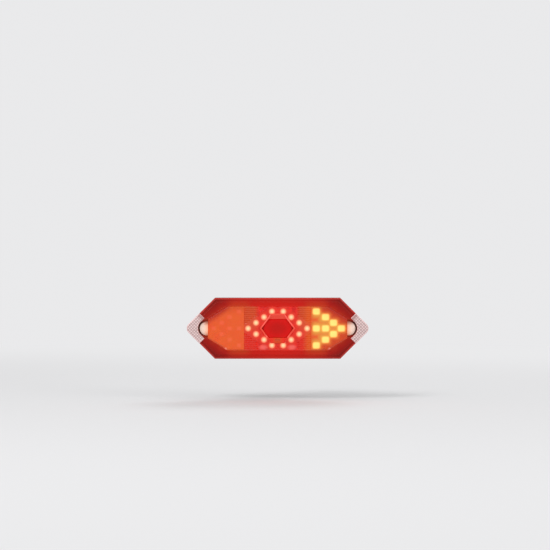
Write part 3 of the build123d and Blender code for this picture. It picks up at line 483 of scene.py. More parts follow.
def make_bezel_plastic():
    material, tree, surface, grain, edge = start_finish(
        "bezel_plastic", edge_radius=0.00040, grain_per_metre=2500.0, patch_per_metre=45.0)
    dust = use_group(tree, dust_group, {"Amount": 0.05}).outputs["Dust"]
    middle = use_group(tree, middle_group).outputs["Glow"]
    groove = glow_of(tree, tip_glow, core=groove_radius, reach=groove_radius + groove_blend)
    beside_arrow = glow_of(tree, arrow_glow, core=0.0035, reach=0.0100)
    # Lighter lines: wear and a painted highlight along the edges, and a painted highlight on the front
    # chamfer.
    lines = maths(tree, "MAXIMUM", product(tree, edge.outputs["Edge"], 0.5), outer_chamfer(tree))
    # Painted glow in the colour: a lighter red round the middle, darker towards the tips.
    towards_tip = ramp(tree, across_of(tree), bezel_fade_start_x, bezel_fade_end_x)
    base = blend_colours(tree, towards_tip, (0.27, 0.004, 0.002), (0.125, 0.0025, 0.0015))
    base = blend_colours(tree, lines, base, (0.40, 0.030, 0.022))
    base = blend_colours(tree, dust, base, (0.40, 0.20, 0.18))
    dark = product(tree, groove, groove_ends(tree))
    base = blend_colours(tree, dark, base, (0.12, 0.040, 0.030))
    feed(tree, base, surface.inputs["Base Color"])
    roughen(tree, surface, grain, 0.24, 0.34)
    grain_bump(tree, surface, grain, edge, 0.3)
    # Painted red glow from inside, strongest round the middle, and painted amber glow beside the arrow's
    # diodes.
    light = blend_colours(tree, middle, (0.022, 0.0006, 0.0004), (0.40, 0.007, 0.002))
    light = blend_colours(tree, beside_arrow, light, (0.28, 0.030, 0.005))
    feed(tree, blend_colours(tree, dark, light, (0.0, 0.0, 0.0)), surface.inputs["Emission Color"])
    set_values(surface, red_polish_and_painted_glow)
    return material


paint(make_bezel_plastic(), "front_bezel")
print("bezel finished")

# %% [markdown]
# ### Silver caps
# The corner caps are satin silver-white, with a fine pattern of raised diamonds on their front. The
# diamonds are only a few hundredths of a millimetre high, so cutting them would cost many faces for nothing
# that shows in the outline. Two waves that cross make them in the material instead, for the colour and for
# the bump. Their pink tone is painted red light from the lit lens. The rounded rim has a pinker painted
# highlight, and the end of the upper arm a darker, redder painted shade.

# %% Write the masks for the caps
diamond_pitch = 0.0020
cap_root_core = 0.0008
cap_root_reach = 0.0050
cap_arm_height = 0.003
cap_edge_radius = 0.0004
cap_end = min(vertex.co.x - vertex.co.z for vertex in nodes["right_end_cap"].data.vertices)


def diamond_texture(tree):
    """Fine pattern of raised diamonds on the cap's front, from two waves that cross along its two arms."""
    across, height = across_of(tree), height_of(tree)
    waves = []
    for operation in ("ADD", "SUBTRACT"):
        turns = product(tree, maths(tree, operation, across, height), 2 * math.pi / diamond_pitch)
        waves.append(maths(tree, "ADD", product(tree, maths(tree, "SINE", turns), 0.5), 0.5))
    raised = ramp(tree, product(tree, *waves), 0.05, 0.50)
    return product(tree, raised, ramp(tree, axis_of(tree, "Normal", "Y"), -0.40, -0.80))


def cap_root(tree):
    """Mask of the end of a cap's upper arm, where a darker, redder painted shade goes."""
    across, height = across_of(tree), height_of(tree)
    from_end = maths(tree, "SUBTRACT", maths(tree, "SUBTRACT", across, height), cap_end)
    near_end = ramp(tree, from_end, cap_root_reach, cap_root_core, 0.0, 0.80)
    return product(tree, near_end, ramp(tree, height, 0.0, cap_arm_height))


def cap_rim(tree):
    """Mask of the rounded rim of a cap's front, which carries a painted pink highlight."""
    facing = axis_of(tree, "Normal", "Y")
    edge = use_group(tree, edge_group, {"Radius": cap_edge_radius}).outputs["Edge"]
    rounded = product(tree, ramp(tree, facing, -0.99, -0.92), ramp(tree, facing, -0.05, -0.30))
    return maths(tree, "MAXIMUM", rounded, edge)


print("a cap's upper arm ends where x - z is", round(cap_end, 4), "m")

# %% Finish the caps
def make_silver_cap():
    material, tree, surface, grain, edge = start_finish(
        "silver_cap", cap_edge_radius, grain_per_metre=5200.0, patch_per_metre=320.0)
    diamonds = diamond_texture(tree)
    # The pink in the cap's colours is painted red light from the lit lens.
    base = blend_colours(tree, grain.outputs["Patch"], (0.46, 0.315, 0.305), (0.62, 0.425, 0.412))
    base = blend_colours(tree, diamonds, base, (0.88, 0.68, 0.67))
    # Painted shade at the end of the upper arm, and a painted pink highlight on the rim.
    base = blend_colours(tree, cap_root(tree), base, (0.42, 0.20, 0.19))
    base = blend_colours(tree, cap_rim(tree), base, (0.88, 0.52, 0.51))
    feed(tree, base, surface.inputs["Base Color"])
    roughen(tree, surface, grain, 0.30, 0.42)
    flaked = bumped(tree, grain.outputs["Height"], 0.4, 0.00001, edge.outputs["Normal"])
    feed(tree, bumped(tree, diamonds, 0.5, 0.00004, flaked), surface.inputs["Normal"])
    set_values(surface, {"Metallic": 0.12, "Coat Weight": 0.25, "Coat Roughness": 0.15})
    return material


paint(make_silver_cap(), "left_end_cap", "right_end_cap")
print("caps finished")

# %% [markdown]
# ### Lenses
# The lens is clear plastic in five zones, frosted behind. Real glass blocks lamp light in a render unless
# many samples find a way through, so a Light Path switch lets lamp rays pass as if through a tinted film.
# What the eye sees is a mix: part clear tint, through which the diodes and their white cups show, and part
# milky body, which carries the colour and the spots of light.

# %% Write the lens recipe
def make_lens(name, body_colour, glow_colour, clear_share, roughness):
    """Tinted lens. body_colour and glow_colour are functions that build a colour in the material's tree."""
    material, tree, surface, grain, edge = start_finish(
        name, edge_radius=0.00025, grain_per_metre=1800.0, patch_per_metre=70.0)
    base = body_colour(tree)
    feed(tree, base, surface.inputs["Base Color"])
    feed(tree, glow_colour(tree), surface.inputs["Emission Color"])
    roughen(tree, surface, grain, roughness, roughness + 0.08)
    grain_bump(tree, surface, grain, edge, 0.2)
    set_values(surface, {
        "Emission Strength": 1.0, "Transmission Weight": clear_share, "IOR": 1.49,
        "Specular IOR Level": 0.2, "Coat Weight": 0.10, "Coat Roughness": 0.03})
    film = add(tree, "BsdfTransparent", {"Color": base})
    lamp_ray = add(tree, "LightPath").outputs["Is Shadow Ray"]
    switch = add(tree, "MixShader", {0: lamp_ray, 1: surface.outputs[0], 2: film.outputs[0]})
    tree.links.new(switch.outputs[0], tree.nodes["Material Output"].inputs["Surface"])
    return material


print("lens recipe ready")

# %% Write the masks that the lenses share
lens_corner_x = 0.033
corner_blend = 0.001
edge_fade_start = 0.002
edge_fade_end = 0.012


def lower_edge(tree):
    """Mask of the sloping edge along a lens's lower side, where a painted line of light from inside goes."""
    facing = axis_of(tree, "Normal", "Z")
    across = across_of(tree)
    past_corner = ramp(tree, across, lens_corner_x - corner_blend, lens_corner_x + corner_blend, 0.35, 1.0)
    before_tip = ramp(
        tree, across, lens_corner_x + edge_fade_start, lens_corner_x + edge_fade_end, 1.0, 0.45)
    slanting = product(tree, past_corner, before_tip)
    return product(tree, ramp(tree, facing, -0.35, -0.60), slanting)


def soft_spot(tree, x, z, core, reach, stretch=1.0):
    """Mask of a spot on both sides of the middle plane, stretched across the light."""
    aside = maths(tree, "DIVIDE", maths(tree, "SUBTRACT", across_of(tree), x), stretch)
    above = maths(tree, "SUBTRACT", height_of(tree), z)
    from_spot = add(tree, "CombineXYZ", {"X": aside, "Z": above}).outputs["Vector"]
    return ramp(tree, length_of(tree, from_spot), reach, core)


print("lens corner", lens_corner_x, "m from the middle")

# %% [markdown]
# The left arrow is off: its diodes are only faint painted spots in an orange field, and that field's glow is
# painted too. The right arrow is on: its spots are pale yellow, with orange round them. Both use the same
# group with other values.

# %% Mask the amber zones' rim and corner
lens_slope = math.tan(math.radians(32.0))
rim_start_height = 0.0088
rim_full_height = 0.0150
rim_before_corner = 0.004
rim_after_corner = 0.002


def amber_rim(tree):
    """Mask of a painted shade that grows from the bright middle of an amber zone out to its sloping upper
    side.
    """
    across, height = across_of(tree), height_of(tree)
    past_corner = maths(tree, "MAXIMUM", maths(tree, "SUBTRACT", across, lens_corner_x), 0.0)
    above = maths(tree, "ADD", height, product(tree, past_corner, lens_slope))
    along = ramp(
        tree, across, lens_corner_x - rim_before_corner, lens_corner_x + rim_after_corner, 0.35, 1.0)
    return product(tree, ramp(tree, above, rim_start_height, rim_full_height), along)


glint_from_corner = 0.0010
glint_height = -0.0134
glint_core = 0.0002
glint_reach = 0.0013


def painted_corner_glint(tree):
    """Small painted glint in the lens's lower corner."""
    return soft_spot(tree, lens_corner_x + glint_from_corner, glint_height, glint_core, glint_reach)


print("rim slope", round(lens_slope, 3))

# %% Finish the left amber lens
amber_outer_x = 0.046
amber_inner_x = 0.028


def left_amber_body(tree):
    uneven = use_group(tree, grain_group, {"Patch per metre": 170.0}).outputs["Patch"]
    inward = ramp(tree, across_of(tree), amber_outer_x, amber_inner_x)
    plain = blend_colours(tree, inward, (0.56, 0.062, 0.014), (0.58, 0.080, 0.014))
    plain = blend_colours(tree, uneven, plain, (0.57, 0.095, 0.012))
    return blend_colours(tree, amber_rim(tree), plain, (0.37, 0.009, 0.002))


# The left arrow is off, so all of this glow is painted: the orange field, the faint spots, the line on the
# lower edge and the corner glint.
def left_amber_glow(tree):
    around = blend_colours(tree, amber_rim(tree), (0.25, 0.036, 0.006), (0.12, 0.003, 0.0005))
    spots = product(tree, glow_of(tree, arrow_glow, core=0.0004, reach=0.0022), 0.55)
    lit = blend_colours(tree, spots, around, (0.36, 0.070, 0.045))
    lit = blend_colours(tree, lower_edge(tree), lit, (0.14, 0.020, 0.014))
    return blend_colours(tree, painted_corner_glint(tree), lit, (0.42, 0.16, 0.12))


paint(make_lens("left_amber", left_amber_body, left_amber_glow, 0.30, roughness=0.2), "left_amber_lens")
print("left amber lens finished")

# %% Mask the lit arrow's ground
arrow_ground_outside = -0.0035
arrow_ground_inside = 0.0010


def inside_arrow(tree):
    """Mask of the ground that an arrow's diodes enclose."""
    across, height = across_of(tree), height_of(tree)
    tail, nose = arrow_centres[0], arrow_centres[-1]
    arrow_top = max(centre.z for centre in arrow_centres)
    fall = product(tree, maths(tree, "SUBTRACT", across, tail.x), arrow_top / (nose.x - tail.x))
    margin = maths(tree, "SUBTRACT", arrow_top, fall)
    margin = maths(tree, "SUBTRACT", margin, maths(tree, "ABSOLUTE", height))
    return ramp(tree, margin, arrow_ground_outside, arrow_ground_inside)


red_half_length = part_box("red_lens")[1].x
border_reach = 0.0030
border_overlap = 0.0010


def beside_ribs(tree):
    """Mask of the amber zones' inner border, where the colour runs over into the red."""
    return ramp(
        tree, across_of(tree), red_half_length + border_reach, red_half_length - border_overlap, 0.0, 0.85)


print("red zone reaches", round(red_half_length, 4), "m from the middle")

# %% Finish the right amber lens
def lit_ground(tree, enclosed_colours, outside_colours):
    """Colour round the lit arrow's spots; in the body colour it is painted light from the diodes. Each pair
    of colours goes from far to near the diodes.
    """
    near = glow_of(tree, arrow_glow, core=0.0020, reach=0.0075)
    beside = glow_of(tree, arrow_glow, core=0.0020, reach=0.0052)
    enclosed = blend_colours(tree, near, *enclosed_colours)
    outside = blend_colours(tree, beside, *outside_colours)
    return blend_colours(tree, inside_arrow(tree), outside, enclosed)


def right_amber_body(tree):
    plain = lit_ground(
        tree, [(0.54, 0.050, 0.010), (0.50, 0.200, 0.045)], [(0.47, 0.045, 0.007), (0.52, 0.120, 0.025)])
    plain = blend_colours(tree, beside_ribs(tree), plain, (0.54, 0.072, 0.012))
    return blend_colours(tree, amber_rim(tree), plain, (0.36, 0.010, 0.002))


def right_amber_glow(tree):
    halo = product(tree, glow_of(tree, arrow_glow, core=0.0020, reach=0.0034), 0.4)
    spots = glow_of(tree, arrow_glow, core=0.0017, reach=0.0027)
    around = lit_ground(
        tree, [(0.26, 0.030, 0.004), (0.28, 0.170, 0.020)], [(0.19, 0.022, 0.002), (0.26, 0.080, 0.010)])
    around = blend_colours(tree, amber_rim(tree), around, (0.13, 0.004, 0.0005))
    around = blend_colours(tree, halo, around, (0.62, 0.42, 0.08))
    around = blend_colours(tree, beside_ribs(tree), around, (0.24, 0.045, 0.006))
    lit = blend_colours(tree, spots, around, (0.93, 0.60, 0.17))
    lit = blend_colours(tree, lower_edge(tree), lit, (0.14, 0.018, 0.014))
    return blend_colours(tree, painted_corner_glint(tree), lit, (0.42, 0.16, 0.12))


paint(make_lens("right_amber", right_amber_body, right_amber_glow, 0.30, roughness=0.2), "right_amber_lens")
print("right amber lens finished")

# %% [markdown]
# The red zone is brightest round the ring. Its ribbed sides carry painted orange light from the amber, more
# on their upper part and most beside the lit arrow.

# %% Mask the ribbed sides
ribs_width = 0.0065
ribs_blend = 0.004
ribs_inner_x = red_half_length - ribs_width
arrow_side_margin = 0.001
side_half_height = 0.004


def beside_lit_arrow(tree):
    """Mask of the ribbed side that stands next to the lit arrow."""
    x = axis_of(tree, "Object", "X")
    return ramp(tree, x, ribs_inner_x, red_half_length - arrow_side_margin)


def with_ribbed_sides(tree, plain, lower, upper, beside_arrow):
    """Colour that is plain in the middle. On the ribbed sides it goes from lower to upper."""
    upward = ramp(tree, height_of(tree), -side_half_height, side_half_height)
    side = blend_colours(tree, upward, lower, upper)
    side = blend_colours(tree, beside_lit_arrow(tree), side, beside_arrow)
    in_ribs = ramp(tree, across_of(tree), ribs_inner_x - ribs_blend, ribs_inner_x)
    return blend_colours(tree, in_ribs, plain, side)


print("ribs start", round(ribs_inner_x, 4), "m from the middle")

# %% Finish the red lens
red_rim_width = 0.002


def red_mottle(tree):
    return use_group(tree, grain_group, {"Patch per metre": 380.0}).outputs["Patch"]


def red_body(tree):
    near = glow_of(tree, ring_glow, core=0.0016, reach=0.0060)
    plain = blend_colours(tree, red_mottle(tree), (0.52, 0.003, 0.002), (0.57, 0.012, 0.006))
    plain = blend_colours(tree, near, plain, (0.57, 0.018, 0.007))
    body = with_ribbed_sides(
        tree, plain, (0.56, 0.026, 0.014), (0.50, 0.060, 0.018), (0.54, 0.072, 0.012))
    rim = ramp(tree, across_of(tree), red_half_length - red_rim_width, red_half_length, 0.0, 0.6)
    return blend_colours(tree, rim, body, (0.56, 0.060, 0.014))


sheen_x = 0.0094
sheen_height = -0.0124
sheen_core = 0.0005
sheen_reach = 0.0025
lower_rim_start_height = -0.0130
lower_rim_full_height = -0.0134


def red_glow(tree):
    near = glow_of(tree, ring_glow, core=0.0014, reach=0.0048)
    spots = glow_of(tree, ring_glow, core=0.0002, reach=0.0025)
    plain = blend_colours(tree, red_mottle(tree), (0.11, 0.001, 0.0005), (0.32, 0.012, 0.007))
    around = with_ribbed_sides(
        tree, plain, (0.20, 0.010, 0.006), (0.18, 0.024, 0.006), (0.24, 0.045, 0.006))
    around = blend_colours(tree, near, around, (0.21, 0.020, 0.008))
    # Painted sheen: a soft pale patch low on each side of the ring.
    sheen = soft_spot(tree, sheen_x, sheen_height, sheen_core, sheen_reach, stretch=1.6)
    around = blend_colours(tree, sheen, around, (0.36, 0.110, 0.090))
    lit = blend_colours(tree, spots, around, (1.0, 0.70, 0.38))
    at_bottom = ramp(tree, height_of(tree), lower_rim_start_height, lower_rim_full_height)
    rim = product(tree, lower_edge(tree), at_bottom)
    return blend_colours(tree, rim, lit, (0.30, 0.050, 0.035))


paint(make_lens("red_clear", red_body, red_glow, 0.25, roughness=0.15), "red_lens")
print("red lens finished")

# %% [markdown]
# The tips are milky: almost white over their diode, with painted amber light towards the amber and a
# painted shade along the upper edge.

# %% Finish the tip lenses
tip_start_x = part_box("right_tip_lens")[0].x
tip_warm_width = 0.0036
tip_shade_start_height = 0.0018
tip_shade_full_height = 0.0045


def tip_top(tree):
    """Mask of a dome's upper edge, where a painted shade goes."""
    return ramp(tree, height_of(tree), tip_shade_start_height, tip_shade_full_height, 0.0, 0.85)


def tip_body(tree):
    outward = ramp(tree, across_of(tree), tip_start_x, tip_start_x + tip_warm_width)
    milky = blend_colours(tree, outward, (0.82, 0.36, 0.20), (0.82, 0.66, 0.56))
    return blend_colours(tree, tip_top(tree), milky, (0.34, 0.10, 0.07))


def tip_light(tree):
    near = glow_of(tree, tip_glow, core=0.0006, reach=0.0042)
    lit = blend_colours(tree, near, (0.06, 0.025, 0.02), (0.22, 0.19, 0.16))
    return blend_colours(tree, tip_top(tree), lit, (0.05, 0.008, 0.005))


paint(make_lens("tip_clear", tip_body, tip_light, 0.15, roughness=0.12), "left_tip_lens", "right_tip_lens")
print("tip lenses finished")

# %% [markdown]
# ### Button and its frame
# The frame round the button is a brighter red than the button, and its slopes carry painted light from the
# ring. Both have a painted glow. The button is smooth and dark, so that a thumb finds it.

# %% Mask where the ring's light is painted
flat_side_half_length = 0.0040
flat_side_blend = 0.0016
tips_height = -0.0005
upper_sides_height = 0.0030
feet_top = -0.0036
feet_top_blend = 0.0010
feet_bottom = -0.0064
feet_bottom_blend = 0.0008


def slanting_sides(tree):
    """Mask that picks the frame's upper slanting sides and the feet of its lower ones, for painted
    highlights.
    """
    across, height = across_of(tree), height_of(tree)
    upper = ramp(tree, height, tips_height, upper_sides_height, 0.12, 1.0)
    below_top = ramp(tree, height, feet_top, feet_top - feet_top_blend)
    above_bottom = ramp(tree, height, feet_bottom, feet_bottom + feet_bottom_blend)
    feet = product(tree, below_top, above_bottom)
    lit_parts = maths(tree, "MAXIMUM", upper, product(tree, feet, 0.8))
    past_flat = ramp(
        tree, across, flat_side_half_length, flat_side_half_length + flat_side_blend, 0.10, 1.0)
    return product(tree, past_flat, lit_parts)


print("lit sides start", flat_side_half_length, "m from the middle")

# %% Write the recipe for the red trim
crown_depth = 0.0005


def make_red_trim(name, shades, edge_colour, edge_glow, roughness):
    """Gloss red piece with a painted glow. Its edges, and what lies within crown_depth of its front, carry a
    painted highlight where slanting_sides picks them.

    shades is a function that builds the plain surface's colour and painted glow in the material's tree.
    """
    material, tree, surface, grain, edge = start_finish(
        name, edge_radius=0.0003, grain_per_metre=3000.0, patch_per_metre=220.0)
    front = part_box("hex_frame")[0].y
    depth = axis_of(tree, "Object", "Y")
    crown = ramp(tree, depth, front + crown_depth, front + 0.25 * crown_depth)
    # Painted highlight on the edges and the front crown, where slanting_sides picks them, in colour and in
    # glow.
    painted_highlight_share = maths(tree, "MAXIMUM", edge.outputs["Edge"], crown)
    painted_highlight_share = product(tree, painted_highlight_share, slanting_sides(tree))
    colour, glow = shades(tree)
    feed(tree, blend_colours(tree, painted_highlight_share, colour, edge_colour), surface.inputs["Base Color"])
    feed(tree, blend_colours(tree, painted_highlight_share, glow, edge_glow), surface.inputs["Emission Color"])
    roughen(tree, surface, grain, roughness, roughness + 0.10)
    grain_bump(tree, surface, grain, edge, 0.3)
    set_values(surface, red_polish_and_painted_glow)
    return material


print("red trim recipe ready")

# %% Finish the frame
lower_land_start_height = -0.004
lower_land_full_height = -0.007
window_core_x = 0.0010
window_reach_x = 0.0046


# Colour and painted glow of the frame, with painted shade on its lower land and darker again beside the
# charge window.
def frame_shades(tree):
    lower = ramp(tree, height_of(tree), lower_land_start_height, lower_land_full_height)
    window = product(tree, ramp(tree, across_of(tree), window_reach_x, window_core_x), lower)
    colour = blend_colours(tree, lower, (0.68, 0.058, 0.036), (0.62, 0.022, 0.010))
    glow = blend_colours(tree, lower, (0.21, 0.020, 0.012), (0.20, 0.008, 0.004))
    return (blend_colours(tree, window, colour, (0.55, 0.046, 0.013)),
            blend_colours(tree, window, glow, (0.16, 0.018, 0.004)))


frame_red = make_red_trim("frame_red", frame_shades, (0.78, 0.10, 0.080), (0.32, 0.040, 0.030), 0.22)
paint(frame_red, "hex_frame")
print("frame finished")

# %% Finish the button
button_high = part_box("power_button")[1]
button_corner_start = 0.0026
button_corner_full = 0.0013


def button_shades(tree):
    """Colour and painted glow of the button. It is darker in the middle, and its corners have a painted
    shadow;
    the corners are measured from its hidden flange.
    """
    middle = use_group(tree, middle_group, {"Inner": 0.0010, "Outer": 0.0070, "Stretch": 1.5}).outputs["Glow"]
    corner = ramp(
        tree, across_of(tree), button_high.x - button_corner_start, button_high.x - button_corner_full)
    colour = blend_colours(tree, middle, (0.57, 0.004, 0.003), (0.46, 0.005, 0.003))
    glow = blend_colours(tree, middle, (0.13, 0.0008, 0.0005), (0.085, 0.001, 0.0005))
    return (blend_colours(tree, corner, colour, (0.34, 0.005, 0.003)),
            blend_colours(tree, corner, glow, (0.06, 0.001, 0.0005)))


button_red = make_red_trim("button_red", button_shades, (0.60, 0.008, 0.006), (0.15, 0.002, 0.001), 0.28)
paint(button_red, "power_button")
print("button finished")

# %% [markdown]
# Under the button a small clear window shows whether the battery charges. It is dark here, a smoky brown.

# %% Finish the charge light
def make_charge_lens():
    material, tree, surface, grain, edge = start_finish(
        "charge_lens", edge_radius=0.0002, patch_per_metre=500.0)
    base = blend_colours(tree, grain.outputs["Patch"], (0.54, 0.046, 0.006), (0.62, 0.070, 0.010))
    # Painted highlight: the edge is lighter.
    base = blend_colours(tree, edge.outputs["Edge"], base, (0.60, 0.16, 0.08))
    feed(tree, base, surface.inputs["Base Color"])
    roughen(tree, surface, grain, 0.12, 0.20)
    feed(tree, edge.outputs["Normal"], surface.inputs["Normal"])
    set_values(surface, {"Specular IOR Level": 0.3, "Coat Weight": 0.1})
    return material


paint(make_charge_lens(), "charge_light_pipe")
print("charge light finished")

# %% [markdown]
# ### Inside
# What lies behind the lens shows through it: the white tray with its cups, and the domed diodes. Lit diodes
# give off their own colour.

# %% Finish what lies behind the lens
tray_white = moulded(
    "tray_white", (0.86, 0.85, 0.82), (0.92, 0.91, 0.88), 0.32, grain_depth=0.000008, dust_amount=0.0)
paint(tray_white, "reflector_tray")


def make_diode(name, colour, light, strength):
    material, tree, surface = start_material(name)
    front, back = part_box("red_leds")
    nose = ramp(tree, axis_of(tree, "Object", "Y"), back.y, front.y)
    feed(tree, blend_colours(tree, nose, tuple(0.6 * value for value in colour), colour),
         surface.inputs["Base Color"])
    feed(tree, blend_colours(tree, nose, tuple(0.5 * value for value in light), light),
         surface.inputs["Emission Color"])
    set_values(surface, {"Emission Strength": strength, "Roughness": 0.12, "Coat Weight": 0.5})
    return material


paint(make_diode("red_diode", (1.0, 0.62, 0.45), (1.0, 0.55, 0.32), 1.2), "red_leds")
paint(make_diode("right_diode", (1.0, 0.85, 0.30), (1.0, 0.78, 0.22), 1.5), "right_amber_leds")
# Painted glow: the left arrow's diodes are off, yet they are given a faint light.
paint(make_diode("left_diode", (0.98, 0.62, 0.42), (0.20, 0.05, 0.02), 0.5), "left_amber_leds")
paint(make_diode("tip_diode", (1.0, 0.95, 0.88), (1.0, 0.92, 0.82), 0.8), "tip_leds", "charge_diode")
print("diodes finished")

# %% Finish the boards and the parts on them
board_laminate = moulded(
    "board_laminate", (0.03, 0.20, 0.10), (0.10, 0.30, 0.18), 0.35, grain_depth=0.000006, coat=0.3,
    dust_amount=0.0)
paint(board_laminate, "led_board", "charge_board")
chip_black = moulded(
    "chip_black", (0.03, 0.03, 0.033), (0.08, 0.08, 0.085), 0.55, grain_depth=0.00001, dust_amount=0.0)
paint(chip_black, "control_chips", "board_link")
paint(metal("radio_shield", (0.70, 0.70, 0.68), 0.32), "radio_module")
paint(metal("socket_steel", (0.74, 0.74, 0.75), 0.22), "usb_socket")
paint(metal("switch_metal", (0.66, 0.66, 0.66), 0.35), "tact_switch")
paint(metal("battery_wrap", (0.72, 0.73, 0.75), 0.38, brush_per_metre=300.0, brush_depth=0.00008), "battery")
switch_plastic = moulded("switch_plastic", (0.03, 0.03, 0.03), (0.08, 0.08, 0.08), 0.5, dust_amount=0.0)
paint(switch_plastic, "switch_plunger")
plug_white = moulded("plug_white", (0.86, 0.84, 0.80), (0.92, 0.90, 0.86), 0.4, dust_amount=0.0)
paint(plug_white, "battery_plug")
lead_wire = moulded("lead_wire", (0.45, 0.02, 0.02), (0.6, 0.05, 0.05), 0.45, dust_amount=0.0)
paint(lead_wire, "battery_leads")
foam_pad = moulded(
    "foam_pad", (0.06, 0.06, 0.06), (0.10, 0.10, 0.10), 0.85, grain_depth=0.0002, grain_per_metre=1800.0,
    dust_amount=0.0)
paint(foam_pad, "battery_pad")
seal_rubber = moulded("seal_rubber", (0.020, 0.018, 0.018), (0.05, 0.05, 0.05), 0.7, dust_amount=0.1)
paint(seal_rubber, "shell_gasket", "button_seal")
print("inner pieces finished")

# %% [markdown]
# ### Bracket
# The bracket, the shoe, the band and the dial are glass-filled nylon: dark, fairly dull, with a coarser
# texture than the casing. The pad is rubber, and its ribs are modelled further down. The screws are zinc
# plated.

# %% Finish the bracket
bracket_nylon = moulded(
    "bracket_nylon", (0.020, 0.020, 0.022), (0.10, 0.10, 0.10), 0.50, grain_depth=0.00005,
    grain_per_metre=2600.0, dust_amount=0.30)
paint(bracket_nylon, "bracket", "mount_shoe")
dial_nylon = moulded(
    "dial_nylon", (0.018, 0.018, 0.020), (0.10, 0.10, 0.10), 0.44, grain_depth=0.00004,
    grain_per_metre=3000.0, dust_amount=0.25)
paint(dial_nylon, "dial_nut")
band_nylon = moulded(
    "band_nylon", (0.028, 0.028, 0.030), (0.12, 0.12, 0.12), 0.38, grain_depth=0.00002, dust_amount=0.25)
paint(band_nylon, "band")
cover_rubber = moulded("cover_rubber", (0.022, 0.018, 0.018), (0.06, 0.05, 0.05), 0.62, dust_amount=0.15)
paint(cover_rubber, "usb_cover")
paint(metal("screw_steel", (0.56, 0.56, 0.57), 0.30),
      "housing_screws", "usb_cover_pin", "shoe_screws", "band_pin", "dial_washer", "tilt_screw", "tilt_nut")
print("bracket finished")

# %% Finish the rubber pad
def make_pad_rubber():
    material, tree, surface, grain, edge = start_finish(
        "pad_rubber", edge_radius=0.0003, grain_per_metre=2200.0)
    base = blend_colours(tree, grain.outputs["Patch"], (0.022, 0.022, 0.022), (0.035, 0.035, 0.035))
    base = blend_colours(tree, edge.outputs["Edge"], base, (0.07, 0.07, 0.07))
    feed(tree, base, surface.inputs["Base Color"])
    roughen(tree, surface, grain, 0.62, 0.80)
    grain_bump(tree, surface, grain, edge, 0.5, 0.00002)
    return material


pad_rubber = make_pad_rubber()
paint(pad_rubber, "post_pad")
print("unpainted pieces:", sorted(name for name, piece in nodes.items() if len(piece.data.materials) != 1))

# %% [markdown]
# ## Details too fine for the CAD model
# Two details are modelled here as meshes: the ribs that let the pad grip, and the thread of the stem that
# the dial nut tightens. Both are one small cross-section carried along a line, so one function makes them:
# it gets the places of the sections and joins each to the next with quads. A Screw modifier could make the
# thread, but the section's height has to fade out at the ends, as it does where a real rib or thread runs
# out.

# %% Write the sweep
import bmesh


def swept_mesh(name, runs):
    """Mesh of one or more closed tubes. A run is a list of sections, and a section a list of points."""
    shape = bmesh.new()
    for run in runs:
        rings = [[shape.verts.new(point) for point in section] for section in run]
        for first, second in zip(rings, rings[1:]):
            for index in range(len(first)):
                after = (index + 1) % len(first)
                shape.faces.new((first[index], first[after], second[after], second[index]))
        shape.faces.new(rings[0])
        shape.faces.new(tuple(reversed(rings[-1])))
    bmesh.ops.recalc_face_normals(shape, faces=shape.faces)
    mesh = bpy.data.meshes.new(name)
    shape.to_mesh(mesh)
    shape.free()
    for face in mesh.polygons:
        face.use_smooth = True
    piece = bpy.data.objects.new(name, mesh)
    bpy.context.scene.collection.objects.link(piece)
    return piece


def fade_at_ends(share, part):
    """1 in the middle of a run and 0 at both ends, reached within part of its length."""
    from_end = min(share, 1.0 - share) / part
    return math.sin(math.pi / 2 * min(1.0, from_end))


print("sweep ready")

# %% [markdown]
# The pad's ribs lie across the post that it grips, eleven of them between the pad's two lips. Each stands a
# quarter of a millimetre out of the rubber and has a half-round section. The post's radius comes from the
# record's mount, and the angle that the pad covers from its box.

# %% Build the ribs of the pad
rib_count = 11
rib_pitch = 0.0020
rib_half_width = 0.00045
rib_height = 0.00025
rib_root = 0.00010
rib_steps = 48
section_steps = 6

post_radius = frame["record"]["mounts"][0]["dims"]["r_mm"] / 1000
pad_half_angle = math.acos(-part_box("post_pad")[1].y / post_radius)


def pad_rib(middle_height):
    sections = []
    for step in range(rib_steps + 1):
        share = step / rib_steps
        angle = -math.pi / 2 + pad_half_angle * (2 * share - 1)
        fade = fade_at_ends(share, 0.05)
        section = [(post_radius + rib_root, middle_height - rib_half_width)]
        for turn in range(section_steps + 1):
            around = math.pi * turn / section_steps
            section.append((
                post_radius - fade * rib_height * math.sin(around),
                middle_height - rib_half_width * math.cos(around)))
        section.append((post_radius + rib_root, middle_height + rib_half_width))
        sections.append([(radius * math.cos(angle), radius * math.sin(angle), z) for radius, z in section])
    return sections


first_rib = -rib_pitch * (rib_count - 1) / 2
pad_ribs = swept_mesh("post_pad_ribs", [pad_rib(first_rib + index * rib_pitch) for index in range(rib_count)])
pad_ribs.data.materials.append(pad_rubber)
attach(pad_ribs, "bracket")
print(rib_count, "ribs over", round(2 * math.degrees(pad_half_angle)), "degrees")

# %% [markdown]
# The stem's thread shows in two places: between the band's root and the lug, and past the dial nut. The
# turns follow one helix about the stem's axis, so both stretches belong to one thread.

# %% Build the thread of the stem
thread_pitch = 0.0008
thread_height = 0.00022
thread_root = 0.00006
thread_half_width = 0.00034
thread_crest_half_width = 0.1 * thread_half_width
thread_steps = 28
stem_radius = 0.0024
stem_root_back = 0.0060
lug_thickness = 0.0039
thread_end_space = 0.0003

nut_low, nut_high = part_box("dial_nut")
stem_x = (nut_low.x + nut_high.x) / 2
stem_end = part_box("band")[0].y
lug_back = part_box("dial_washer")[1].y + lug_thickness


